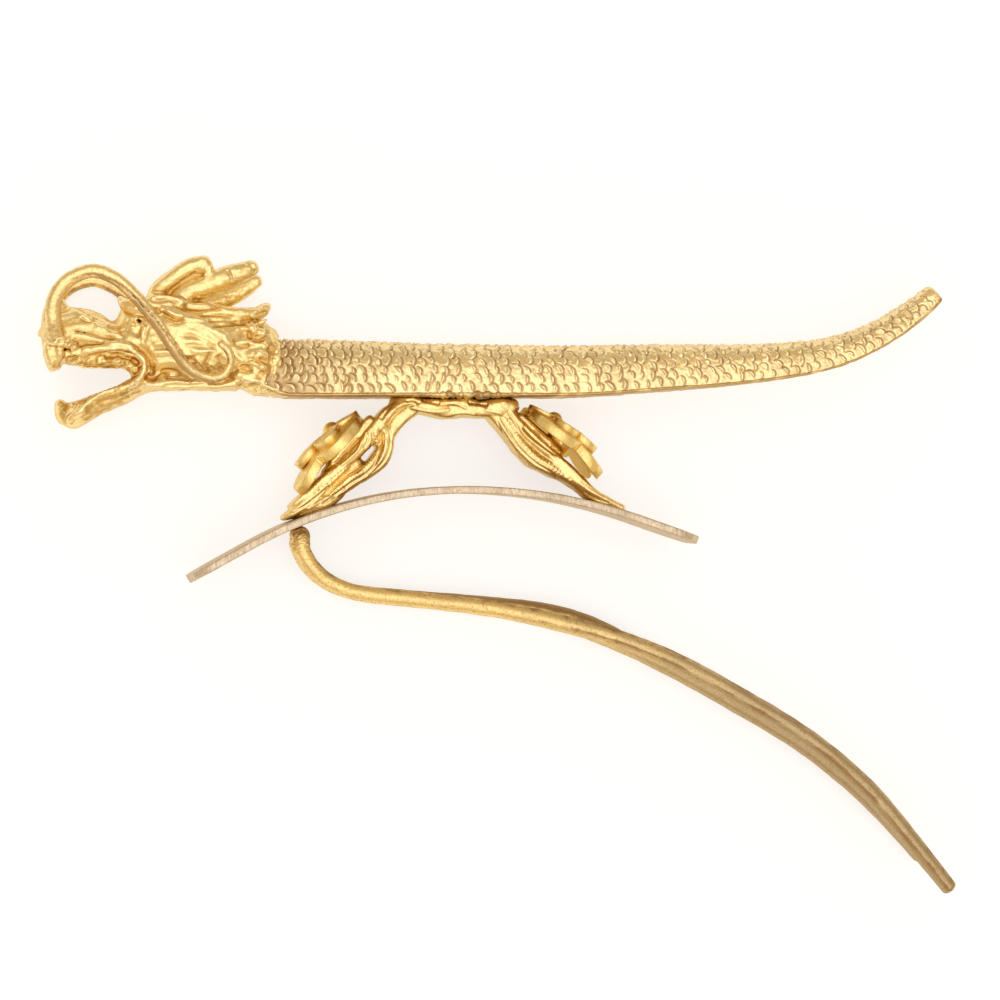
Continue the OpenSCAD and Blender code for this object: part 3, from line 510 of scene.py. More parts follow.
# Folds and grooves cut in the wax: height of the line as a share of fold_depth, its half width in
# millimetres, and its path in x and y
folds = [
    # snout
    (0.17, 0.35, [(-51.5, 23.2), (-50.7, 22.5), (-49.9, 21.8), (-48.7, 20.9), (-47.3, 20.0),
                  (-45.6, 19.2), (-43.9, 18.8)]),
    (-0.22, 0.30, [(-50.3, 19.7), (-49.4, 19.6), (-48.5, 19.4), (-47.0, 18.9), (-45.5, 18.7)]),
    (0.10, 0.43, [(-50.8, 18.8), (-49.1, 19.0), (-47.3, 18.6), (-45.0, 18.2), (-42.7, 17.9)]),
    (-0.11, 0.27, [(-49.9, 18.2), (-47.9, 18.2), (-45.6, 17.8), (-43.7, 17.8)]),
    (0.08, 0.32, [(-49.6, 17.7), (-47.3, 17.7), (-45.3, 17.5)]),
    (-0.22, 0.19, [(-49.5, 21.3), (-49.1, 20.9), (-48.4, 20.8), (-47.9, 21.1)]),
    (-0.15, 0.17, [(-49.3, 21.9), (-48.8, 21.6), (-48.7, 21.3)]),
    (0.08, 0.22, [(-47.6, 20.9), (-46.4, 20.6), (-45.3, 20.1)]),
    (-0.08, 0.16, [(-47.9, 20.6), (-46.4, 20.1), (-45.1, 19.7)]),
    (0.07, 0.19, [(-47.0, 19.8), (-46.2, 20.7)]),
    (-0.12, 0.19, [(-45.3, 20.2), (-44.8, 19.4), (-44.4, 18.8)]),
    # mouth
    (0.20, 0.30, [(-47.8, 17.1), (-46.6, 17.1), (-45.5, 17.3), (-44.1, 17.0), (-43.2, 16.7),
                  (-42.5, 15.9), (-42.3, 15.1), (-42.6, 14.4), (-43.3, 13.7), (-44.4, 13.3)]),
    (-0.26, 0.27, [(-46.9, 16.8), (-45.5, 16.8), (-44.2, 16.6), (-43.4, 16.2), (-42.9, 15.6)]),
    (-0.26, 0.46, [(-43.8, 17.7), (-42.6, 17.5), (-41.8, 16.7), (-41.5, 15.5), (-41.7, 14.5),
                   (-42.1, 13.9)]),
    (0.20, 0.26, [(-44.4, 13.3), (-45.3, 13.1), (-46.3, 12.8), (-47.3, 12.3), (-48.2, 11.7),
                  (-49.0, 11.0), (-49.7, 10.3), (-50.5, 9.8), (-51.3, 9.5)]),
    (-0.17, 0.30, [(-45.3, 12.8), (-46.5, 12.3), (-47.6, 11.7), (-48.5, 11.0), (-49.2, 10.3)]),
    (0.10, 0.35, [(-44.1, 12.5), (-45.6, 11.8), (-47.1, 11.0), (-48.5, 10.3), (-49.6, 9.5)]),
    (-0.14, 0.24, [(-50.1, 8.7), (-48.5, 9.6), (-47.0, 10.5), (-45.3, 11.4), (-43.4, 12.4),
                   (-41.6, 13.0)]),
    # face
    (-0.17, 0.24, [(-42.6, 20.4), (-42.9, 19.4), (-42.6, 18.3)]),
    (0.12, 0.22, [(-42.2, 20.3), (-42.4, 19.4), (-42.7, 18.4)]),
    (-0.14, 0.19, [(-41.8, 20.1), (-42.1, 19.0), (-42.4, 18.2)]),
    (0.08, 0.30, [(-41.4, 18.1), (-39.9, 18.2), (-38.6, 18.1)]),
    (-0.11, 0.24, [(-41.5, 17.6), (-39.9, 17.7), (-38.4, 17.5)]),
    (0.09, 0.32, [(-41.5, 17.0), (-39.9, 17.2), (-38.1, 16.9)]),
    (-0.12, 0.24, [(-41.4, 16.5), (-39.9, 16.6), (-38.4, 16.7)]),
    (0.08, 0.32, [(-41.1, 15.8), (-39.5, 16.1), (-37.9, 16.0)]),
    (-0.12, 0.22, [(-43.6, 20.3), (-43.0, 20.4), (-42.5, 20.9)]),
    (0.10, 0.22, [(-44.1, 21.1), (-43.9, 20.3), (-43.4, 20.0)]),
    # horns
    (-0.18, 0.24, [(-39.6, 24.0), (-38.6, 24.9), (-37.3, 25.9), (-35.9, 26.7)]),
    (-0.12, 0.27, [(-34.1, 24.3), (-32.6, 24.9), (-30.9, 25.5), (-29.5, 26.3)]),
    (-0.15, 0.16, [(-32.7, 26.9), (-32.3, 26.2), (-32.1, 25.4)]),
    (0.09, 0.16, [(-32.3, 27.0), (-32.0, 26.2), (-31.8, 25.5)]),
    (-0.18, 0.35, [(-36.7, 23.8), (-35.5, 23.6), (-34.3, 23.8), (-33.3, 24.1)]),
    (-0.18, 0.22, [(-30.4, 27.9), (-29.8, 27.2), (-29.2, 26.6)]),
    (-0.14, 0.19, [(-31.6, 24.7), (-30.5, 25.2), (-29.3, 25.9)]),
    # mane
    (0.17, 0.35, [(-39.3, 24.1), (-37.8, 23.3), (-36.1, 22.8), (-34.4, 23.2), (-33.4, 23.7)]),
    (-0.22, 0.27, [(-41.6, 23.2), (-40.4, 23.1), (-39.3, 23.3), (-38.1, 22.8)]),
    (0.13, 0.24, [(-42.1, 23.9), (-40.7, 23.7), (-39.3, 23.6), (-38.1, 23.0)]),
    (-0.21, 0.30, [(-37.9, 22.7), (-36.1, 22.2), (-34.3, 22.5), (-33.3, 22.9)]),
    (0.14, 0.35, [(-39.9, 22.2), (-38.7, 21.4), (-37.0, 20.9), (-35.1, 20.8)]),
    (-0.26, 0.27, [(-40.4, 21.8), (-39.5, 21.3), (-38.6, 21.0), (-37.7, 21.2)]),
    (0.09, 0.27, [(-37.0, 21.9), (-35.3, 21.9), (-33.3, 21.8)]),
    (-0.15, 0.22, [(-35.8, 21.5), (-33.8, 21.5), (-31.7, 21.3)]),
    (0.12, 0.20, [(-35.6, 21.2), (-33.5, 21.2), (-30.5, 21.0)]),
    (-0.14, 0.17, [(-35.1, 20.8), (-33.3, 21.0), (-31.2, 20.9)]),
    (-0.27, 0.27, [(-34.7, 20.3), (-33.3, 20.4), (-31.8, 20.6), (-30.3, 20.9)]),
    (0.14, 0.40, [(-33.3, 19.0), (-32.2, 19.5), (-31.2, 20.1)]),
    (-0.21, 0.32, [(-32.1, 18.4), (-31.2, 19.1), (-30.5, 19.9)]),
    (0.12, 0.55, [(-38.6, 20.2), (-36.4, 20.4), (-34.7, 19.9), (-33.3, 18.8), (-32.3, 17.7)]),
    (-0.10, 0.19, [(-39.1, 20.8), (-37.0, 20.8), (-35.1, 20.6), (-34.0, 19.9)]),
    (0.07, 0.25, [(-38.6, 19.6), (-36.8, 19.5), (-35.6, 18.9), (-34.6, 18.5), (-33.8, 18.0)]),
    (-0.15, 0.30, [(-38.4, 19.1), (-36.8, 19.0), (-35.7, 18.6), (-34.7, 18.1), (-33.9, 17.7)]),
    (0.07, 0.26, [(-37.8, 18.3), (-36.2, 18.6), (-34.9, 18.1)]),
    (-0.10, 0.22, [(-37.7, 17.9), (-36.1, 17.9), (-34.7, 17.7)]),
    (0.13, 0.24, [(-37.0, 17.3), (-35.5, 17.3), (-33.8, 17.4)]),
    (-0.20, 0.24, [(-34.5, 17.2), (-34.9, 16.5), (-35.2, 15.6), (-34.6, 14.8)]),
    (0.13, 0.27, [(-36.3, 16.7), (-35.8, 15.8), (-35.0, 15.1)]),
    (-0.18, 0.46, [(-33.7, 17.0), (-33.3, 16.0), (-33.8, 15.2)]),
    # throat
    (-0.27, 0.30, [(-41.5, 13.7), (-40.9, 14.5), (-40.0, 15.0), (-38.7, 14.9), (-37.6, 14.3),
                   (-36.5, 13.7)]),
    (0.13, 0.19, [(-40.4, 14.2), (-39.3, 14.4), (-38.0, 14.3)]),
    (0.13, 0.19, [(-40.1, 13.7), (-38.4, 13.8), (-36.8, 13.5)]),
    (-0.12, 0.16, [(-39.9, 13.9), (-38.4, 14.1), (-37.2, 13.8)]),
    (-0.15, 0.22, [(-40.4, 13.2), (-38.7, 13.3), (-37.0, 13.3), (-34.9, 13.6)]),
    (0.16, 0.35, [(-42.7, 12.7), (-41.6, 13.1), (-39.9, 13.0), (-37.0, 12.8), (-34.4, 12.9),
                  (-32.8, 13.1)]),
    (-0.22, 0.30, [(-35.3, 13.8), (-33.8, 13.6), (-32.4, 14.3), (-31.4, 15.6)]),
    (0.10, 0.19, [(-36.4, 13.6), (-35.1, 13.7), (-34.0, 13.5)]),
    # collar
    (-0.24, 0.24, [(-31.4, 15.5), (-30.4, 15.6), (-29.3, 15.3), (-28.2, 14.5)]),
    (-0.21, 0.22, [(-30.0, 16.6), (-29.1, 16.2), (-28.2, 16.6)]),
    (-0.22, 0.24, [(-30.4, 19.8), (-30.0, 19.0), (-29.3, 18.7), (-28.4, 18.5)]),
    (0.16, 0.30, [(-29.9, 20.8), (-29.6, 19.9), (-29.1, 19.0)]),
    (-0.14, 0.50, [(-27.7, 18.5), (-27.6, 16.8), (-27.6, 15.2), (-27.9, 13.3)]),
    (0.17, 0.32, [(-29.8, 21.2), (-29.1, 22.0), (-28.3, 22.5)]),
    (-0.26, 0.30, [(-29.4, 21.4), (-28.6, 22.0), (-27.9, 22.2)]),
    (0.13, 0.27, [(-32.1, 17.2), (-31.4, 16.6), (-30.6, 16.1)]),
    (-0.20, 0.27, [(-32.0, 18.2), (-31.0, 17.9), (-30.1, 18.1)]),
    (0.14, 0.32, [(-31.2, 14.2), (-30.0, 13.9), (-28.9, 14.0)]),
    (-0.18, 0.22, [(-31.7, 13.7), (-30.4, 13.3), (-29.1, 13.6)]),
]
# Rough places: path, reach, lump size, depth
rough_places = [([(-51.5, 16.5), (-48.5, 16.2), (-45.1, 16.1), (-43.0, 15.2)], 0.75, 0.42, 0.17),
                ([(-53.4, 18.3), (-51.6, 18.3), (-50.2, 17.7)], 0.7, 0.5, 0.34),
                ([(-50.8, 10.7), (-49.6, 11.4), (-47.3, 12.6), (-44.6, 13.3)], 0.4, 0.36, 0.11),
                ([(-53.4, 16.0), (-52.6, 15.4)], 0.5, 0.5, 0.12),
                ([(-30.4, 18.8), (-29.2, 16.8), (-28.8, 14.4)], 1.2, 0.8, 0.09),
                ([(-30.2, 20.4), (-28.8, 19.9), (-27.7, 18.8)], 0.9, 0.6, 0.20),
                ([(-35.6, 26.2), (-34.6, 27.4)], 0.7, 0.4, 0.12),
                ([(-31.6, 26.9), (-29.8, 27.2)], 0.8, 0.5, 0.08),
                ([(-51.9, 11.0), (-51.5, 9.6)], 0.8, 0.5, 0.10)]

# Darker brown along these paths, among them painted shade on the jaw's side: path, reach, strength
darker_paths = [([(-51.5, 16.3), (-48.5, 16.0), (-45.0, 16.0), (-43.0, 15.0)], 0.55, 1.0),
          ([(-51.9, 11.2), (-51.3, 9.6), (-50.4, 8.9)], 0.9, 0.8),
          ([(-49.8, 9.8), (-46.5, 11.6), (-44.0, 12.5)], 1.1, 0.9),
          ([(-53.4, 15.9), (-52.4, 15.3)], 0.4, 0.6),
          ([(-31.0, 26.4), (-29.4, 27.4)], 0.8, 0.6),
          ([(-27.5, 18.8), (-27.7, 16.0), (-27.8, 13.4)], 0.6, 1.3),
          ([(-30.4, 25.0), (-33.0, 23.9)], 0.5, 0.5),
          ([(-50.6, 18.4), (-46.0, 18.0)], 0.4, 0.4)]

head_parts = [tube(skull, 6, 24, (8,)), tube(solder, 6, 32, (8,), 0.8), tube(throat, 6, 32, square=0.6),
              tube(snout, 6, 20), tube(palate), tube(snout_crest), tube(nose), tube(jaw, 6, 18), tube(chin),
              tube(far_antler), tube(antler), tube(horn_web), mirrored(tube(horn_web)), tube(top_lock),
              tube(spur)]
both_sides = [tube(horn), tube(brow), tube(lip, 6, 10), tube(root), tube(nose_wing), tube(nose_crown),
              tube(nose_facet), tube(gum), tube(horn_knob), blob(eye, (0.6, 0.5, 0.6)),
              blob(nostril, (0.75, 0.55, 0.7))]
for part in both_sides + [tube(rows) for rows in locks + nodules]:
    head_parts += [part, mirrored(part)]
head_voxel, fold_depth = 0.15, 1.25
head = cast(head_parts, head_voxel)
head.ease(4)
strands = 0.4 - np.abs(head.grain(np.array((2.2, 0.8, 1.2)), 3))
head.push(0.045 * head.grain(1.5) + 0.02 * head.grain(0.6, 7) + 0.09 * strands)
head.aim()
for height, width, path in folds:
    head.push(head.line(path, fold_depth * height, width))
head.aim()
for i, (path, reach, lumps, deep) in enumerate(rough_places):
    head.push(head.line(path, deep, reach, None, 0.05) * head.grain(lumps, 3.7 * i))
# The eye is a small pit; below, it is painted black for the shade in it
pit, pit_reach, pit_deep, cheek_z = (-42.86, 20.77), 0.26, 0.5, 2.8
outer_side = np.abs(head.points[:, 2]) > cheek_z
from_eye = np.hypot(*(head.points[:, :2] - pit).T)
head.push(-pit_deep * np.exp(-(from_eye / pit_reach) ** 2) * outer_side)
# The collar is ragged, and the lock above it much less
collar_x, collar_top = -30.4, 21.3
ragged = np.clip((head.points[:, 0] - collar_x) / 1.2, 0, 1)
ragged = ragged * np.clip((collar_top - head.points[:, 1]) / 0.8, 0.2, 1)
head.push(ragged * (0.16 * head.grain(0.8, 31) + 0.07 * head.grain(0.33, 37)))
head.ease(1, 0.3)
# Painted shade and dirt: hollows and creases get a high hollow value and are darkened; edges get a low one
# and turn paler
head.find_hollows(12, 0.12)
for path, reach, amount in darker_paths:
    head.hollow += head.line(path, amount, reach, None, 0.05) * (1 + head.grain(0.7, 5))
head.hollow = np.clip(head.hollow, -1, 1)
# Painted shade: the eye pit and two pores of the casting are painted black, for the shade inside them: x,
# y, reach
for x, y, reach in ((-42.8, 20.78, 0.18), (-49.1, 19.4, 0.10), (-49.9, 19.5, 0.07)):
    from_pore = np.hypot(*(head.points[:, :2] - (x, y)).T)
    head.hollow += 3 * np.exp(-(from_pore / reach) ** 2) * outer_side
gilt = satin_gold("gilt_casting", (0.98, 0.75, 0.35), (0.62, 0.36, 0.09), 0.27, shade_and_grime=0.8, specks=0.3)
show("head", head, gilt, "gilt", "dragon_head")


# Whiskers: two brass wires, drawn round and bent over the snout and down to a curl on the cheek. Their
# roots are soldered to the lip.
# x, y, share of the way out to the side, share of the root's thickness
whisker_rows = [
    (-52.3, 18.6, 0.68, 1.10), (-52.6, 20.4, 0.86, 1.04), (-52.6, 22.4, 0.97, 0.98),
    (-51.9, 24.2, 1.00, 0.92), (-50.3, 25.7, 1.00, 0.88), (-48.0, 26.4, 1.00, 0.86),
    (-45.8, 25.7, 1.00, 0.84), (-43.9, 24.2, 1.00, 0.80), (-42.2, 22.3, 1.00, 0.77),
    (-40.7, 20.3, 0.99, 0.74), (-39.2, 18.0, 0.98, 0.70), (-37.9, 16.1, 0.97, 0.66),
    (-36.4, 14.7, 0.96, 0.62), (-34.6, 14.1, 0.95, 0.58), (-33.1, 14.5, 0.95, 0.52),
    (-32.3, 15.9, 0.96, 0.48), (-32.5, 17.2, 0.97, 0.46), (-33.4, 18.1, 0.97, 0.42)]
whisker_half_d, whisker_half_gap = 0.95, 5.4
far_shift, alike_row = (-0.9, -0.3), 10


def skin_of(part):
    """A single closed tube as a skin; its end faces are split into quads."""
    points, faces = part
    quads = [f for f in faces if len(f) == 4]
    for f in faces:
        if len(f) > 4:
            quads += [(f[0], f[i], f[i + 1], f[i + 2]) for i in range(1, len(f) - 2, 2)]
    return Skin(points, np.array(quads))


# A hammered groove runs under the middle of the left wire, and round the inside of its curl
groove = [(-51.1, 25.0), (-49.3, 25.7), (-48.2, 25.9), (-46.6, 25.5), (-45.0, 24.8), (-43.8, 23.8),
          (-42.6, 22.6), (-41.1, 21.1), (-40.0, 19.7), (-38.8, 17.9), (-37.8, 16.6)]
curl_rim = [(-37.1, 16.6), (-36.1, 15.4), (-35.0, 14.8), (-34.0, 14.7), (-33.1, 15.3), (-32.6, 16.3)]
# Dirt stands in the groove where the wire comes down past the brow, and farther down in dots
packed = [(-45.3, 24.9), (-44.4, 24.3), (-43.6, 23.6), (-42.8, 22.8), (-42.0, 21.9)]
dotted = [(-42.2, 22.2), (-41.1, 21.0), (-39.9, 19.6), (-38.7, 17.9), (-37.9, 16.8)]
wire_gilt = satin_gold("gilt_wire", (0.96, 0.73, 0.35), (0.42, 0.25, 0.10), 0.29, shade_and_grime=0.7, specks=0.4)
for name, side in (("whisker_left", 1), ("whisker_right", -1)):
    rows = []
    for i, (x, y, out, share) in enumerate(whisker_rows):
        shift = max(0, 1 - i / alike_row) if side < 0 else 0
        thick = share * whisker_half_d
        rows.append((x + shift * far_shift[0], y + shift * far_shift[1], side * out * whisker_half_gap,
                     thick, 0.8 * thick))
    wire = skin_of(tube(rows, 30, 40))
    if side > 0:
        hammered = wire.line(groove, -0.11, 0.17) * (1 + 0.6 * wire.grain(0.3, 9))
        wire.push(hammered + wire.line(curl_rim, -0.09, 0.14))
    wire.push(0.03 * wire.grain(0.9, side) + 0.012 * wire.grain(0.3, 3 + side))
    wire.aim()
    wire.find_hollows(8, 0.05)
    # Painted shade: brown on the wire's underside, turned down away from the light, and in its creases;
    # brown also all round where it comes down over the cheek
    under = np.clip(wire.normal @ (-0.35, -0.90, 0.25), 0, 1)
    under = under * (1.1 + 0.6 * wire.grain(1.6, 8) + 0.4 * wire.grain(0.4, 6))
    wire.hollow = np.clip(0.4 * wire.hollow + under, -1, 1)
    x = wire.points[:, 0]
    coming_down = np.clip((x + 45.5) / 3, 0, 1) * np.clip((-35 - x) / 3, 0.3, 1)
    wire.hollow += 0.55 * coming_down * (1 + 0.7 * wire.grain(0.5, 2))
    wire.hollow = np.clip(wire.hollow, -1, 1)
    if side > 0:
        wire.hollow += wire.line(packed, 1.1, 0.09) * (1 + 0.5 * wire.grain(0.3, 15))
        wire.hollow += wire.line(dotted, 1.3, 0.13) * np.clip(2 * wire.grain(0.2, 19), -0.5, 1)
    show(name + "_wire", wire, wire_gilt, "gilt", name)


# Body: sheet brass domed over a former and punched all over with curved scale marks, then gilt. Its
# front end is soldered into the head's collar.
# Stations: x, y of the middle, half height, half width as a share of the widest
body_rows = [
    (-27.9, 15.55, 3.40, 0.95), (-21.0, 15.55, 3.40, 0.98), (-10.0, 15.45, 3.20, 1.00),
    (2.0, 15.40, 3.10, 1.00), (10.0, 15.50, 3.05, 0.98), (19.0, 15.95, 2.80, 0.94),
    (27.0, 16.30, 2.50, 0.88), (34.0, 16.85, 2.20, 0.80), (39.5, 17.65, 1.95, 0.72),
    (44.5, 19.25, 1.65, 0.63), (48.7, 21.50, 1.50, 0.55), (51.6, 23.55, 1.35, 0.47),
    (53.9, 25.50, 1.20, 0.40)]
body_half_w, sheet_t, solder_gap = 4.5, 0.5, 0.05
front_slant, slant_l = 0.31, 6
dome_sides, dome_top = 0.72, 0.80
body_stations, body_round, left_round = 700, 134, 90

body_line = curve_through(body_rows, 60)
length_along = np.concatenate([[0], np.cumsum(np.hypot(*np.diff(body_line[:, :2], axis=0).T))])
even = np.linspace(0, length_along[-1], body_stations)
body_line = np.stack([np.interp(even, length_along, body_line[:, k]) for k in range(4)], axis=1)
body_along = unit(np.gradient(body_line[:, :2], axis=0))
body_lean = front_slant * np.clip(1 - (body_line[:, 0] - body_rows[0][0]) / slant_l, 0, None)


def on_body(station, across, up):
    """A point of the body's section, this far across and up from the middle of that station."""
    x, y = body_line[station, 0], body_line[station, 1]
    tx, ty = body_along[station].T
    return np.stack([x - ty * up + body_lean[station] * up, y + tx * up, across], axis=-1)


# The shell's foot stands on the closing sheet, which is filed thinner towards the tail
sheet_level = sheet_t + solder_gap
foot = sheet_level * (0.68 - 0.18 * np.clip((body_line[:, 0] - 2) / 22, 0, 1))
# The tip is rounded off over its last stretch
tip_round, tip_share = 0.8, 0.72
along_mm = np.linspace(0, length_along[-1], body_stations)
to_tip = np.clip((length_along[-1] - along_mm) / tip_round, 0, 1)
rounded = tip_share + (1 - tip_share) * np.sqrt(1 - (1 - to_tip) ** 2)
half_w = body_line[:, 3] * body_half_w * rounded
half_h = body_line[:, 2] * rounded
# The wall is steep, so the points round the dome are spaced evenly along it, finer on the left side
turn = np.linspace(0, math.pi, 1200)
dome_x = np.sign(np.cos(turn)) * np.abs(np.cos(turn)) ** dome_sides
dome_y = np.abs(np.sin(turn)) ** dome_top
share_round = np.concatenate([np.linspace(0, 0.5, left_round),
                              np.linspace(0.5, 1, body_round - left_round + 1)[1:]])
across, up, girth = [], [], []
for i in range(body_stations):
    px, py = half_w[i] * dome_x, -half_h[i] + foot[i] + (2 * half_h[i] - foot[i]) * dome_y
    run = np.concatenate([[0], np.cumsum(np.hypot(np.diff(px), np.diff(py)))])
    even = run[-1] * share_round
    across.append(np.interp(even, run, px))
    up.append(np.interp(even, run, py))
    girth.append(even)
across, up, girth = np.array(across), np.array(up), np.array(girth)
# The underside is flat, and the closing sheet hides it
inner = np.linspace(-0.9, 0.9, 6)
full_across = np.hstack([across, inner * half_w[:, None]])
full_up = np.hstack([up, np.repeat((foot - half_h)[:, None], len(inner), axis=1)])
ring = body_round + len(inner)
stations = np.repeat(np.arange(body_stations), ring)
shell = lofted(on_body(stations, full_across.ravel(), full_up.ravel()).reshape(body_stations, ring, 3))


def on_dome(values):
    """Values for the points of the dome, and 0 for the underside and the ends."""
    amount = np.zeros(len(shell.points))
    amount[:body_stations * ring].reshape(body_stations, ring)[:, :body_round] = values
    return amount


# Scale marks: raised half moons, bulging towards the tail, in staggered rows up each side. Each was
# struck by hand, so no two are quite alike. They stand closer for the first stretch behind the head.
mark_pitch, mark_rows_apart, first_row = 1.42, 1.10, 0.60
mark_r, mark_h, mark_edge, moon_cut, moon_back = 0.66, 0.24, 0.09, 0.38, 0.3
mark_reach, last_mark, mark_tilt = 1.2, 0.6, 20
close_share, close_l = 0.82, 12
rng = np.random.default_rng(29)
relief = np.zeros((body_stations, body_round))
full = girth[:, -1]


def step(v):
    """0 below -1 and 1 above 1, with a smooth step."""
    v = np.clip(0.5 + 0.5 * v, 0, 1)
    return v * v * (3 - 2 * v)


for side in (0, 1):
    for row in range(int(0.5 * full.max() / mark_rows_apart) + 1):
        level = first_row + row * mark_rows_apart
        s0 = 0.5 + (row % 2) * 0.5 * mark_pitch
        while s0 < along_mm[-1] - last_mark:
            s, t = s0 + rng.uniform(-0.22, 0.22), level + rng.uniform(-0.2, 0.2)
            s0 += mark_pitch * rng.uniform(0.86, 1.10) * (close_share if s0 < close_l else 1)
            tilt = math.radians(mark_tilt + rng.uniform(-32, 26))
            size, deep = rng.uniform(0.74, 1.08), rng.uniform(0.7, 1.25)
            slim, cut = rng.uniform(0.8, 1.25), rng.uniform(0.8, 1.25)
            i0, i1 = np.searchsorted(along_mm, [s - mark_reach, s + mark_reach])
            mid = min((i0 + i1) // 2, body_stations - 1)
            if t > 0.5 * full[mid] + 0.2:
                continue
            g = girth[i0:i1] if side == 0 else full[i0:i1, None] - girth[i0:i1]
            a, b = along_mm[i0:i1, None] - s, g - t
            a, b = a * math.cos(tilt) + b * math.sin(tilt), (b * math.cos(tilt) - a * math.sin(tilt)) * slim
            r = np.hypot(a + moon_back, b)
            inner_r = np.hypot(a + moon_back + moon_cut * cut, b)
            front = step((a - 0.02) / 0.16)
            in_disc, past_cut = mark_r * size - r, inner_r - mark_r * size
            moon = front * step(in_disc / mark_edge) * step(past_cut / mark_edge)
            # The punch leaves a sunk line round the moon, and a fainter one in its hollow
            sunk = 0.13 * np.exp(-((in_disc + 0.11) / 0.10) ** 2)
            sunk += 0.06 * np.exp(-((past_cut + 0.12) / 0.11) ** 2)
            relief[i0:i1] += deep * (mark_h * moon - sunk * front)
# The marks run out at the edges and are worn along the crown of the back
edge = np.clip(np.minimum(girth, full[:, None] - girth) / 0.25, 0, 1)
edge = edge * np.clip((along_mm[:, None] - 0.1) / 0.4, 0, 1)
crown_reach, crown_wear, deepest, highest = 0.16, 0.40, -0.17, 0.24
crown = np.clip(1 - np.abs(girth / full[:, None] - 0.5) / crown_reach, 0, 1)
relief = np.clip(relief, deepest, highest) * edge * (1 - crown_wear * crown)
shell.push(on_dome(relief - 0.02))
shell.push(0.035 * shell.grain(1.5, 5) + 0.035 * shell.grain(0.45, 9))
shell.aim()
# Painted shade and dirt in the sunk lines beside the marks, darkest near the head, and paler raised moons;
# the tail's end, closed by the last three rings, is dark
near_head = np.clip((-12 - shell.points[:, 0]) / 10, 0, 1)
marks = on_dome(-relief / 0.10) * (1 + near_head)
shell.hollow = np.clip(marks + 0.3 * shell.grain(1.4, 17), -1, 1 + 0.55 * near_head)
shell.hollow[-3 * ring:] = 0.9


def lifted(points):
    """The underside runs up to the head's throat at its front end."""
    x, y = points[:, 0], points[:, 1]
    rise = np.interp(x, [-28.9, -28.2, -27.1, -25.5], [1.2, 0.75, 0.35, 0])
    return points + np.outer(rise * np.clip((14.5 - y) / 2, 0, 1), (0, 1, 0))


shell.points = lifted(shell.points)
gilt_sheet = satin_gold("gilt_sheet", (0.98, 0.77, 0.41), (0.43, 0.26, 0.12), 0.29, shade_and_grime=0.8, specks=0.3,
                        at_collar=0.85)
show("body_shell_chased", shell, gilt_sheet, "gilt", "body_shell")


# Closing sheet: flat brass sheet soldered under the shell to close it, cut to its outline. The edge is
# left as cut, and shows as a plain line under the scales.
# Section of the sheet: share of the half width, and height
edge_rows = [(0.985, 0.09), (1.0, 0.25), (0.995, 0.45), (0.975, 0.62)]
section = edge_rows + [(-a, b) for a, b in edge_rows[::-1]] + [(-0.95, 0), (0.95, 0)]
sheet_start, sheet_stations, sheet_end = 6, 520, 698
section_w, section_h = np.array(section).T
sheet_rings = []
for i in np.linspace(sheet_start, sheet_end, sheet_stations).astype(int):
    level = -half_h[i] + section_h * foot[i] / sheet_level
    sheet_rings.append(on_body(np.full(len(section), i), section_w * half_w[i], level))
sheet = lofted(np.array(sheet_rings))
sheet.push(0.045 * sheet.grain(2.2, 12) + 0.035 * sheet.grain(0.7, 13))
# A crust of solder over the bridge
bridge_x, crust_reach = -5, 6.5
crust = np.clip(1.3 - np.abs(sheet.points[:, 0] - bridge_x) / crust_reach, 0, 1)
sheet.push(crust * 0.30 * np.abs(sheet.grain(0.7, 40)) + crust * 0.12 * sheet.grain(0.35, 41))
sheet.points = lifted(sheet.points)
sheet.aim()
# Painted shade: the whole sheet is darkened, as it lies in shade under the shell
sheet.hollow = np.clip(0.8 + 0.5 * sheet.grain(1.3, 3), -1, 1)
show("body_sheet_cut", sheet, wire_gilt, "gilt", "body_sheet")


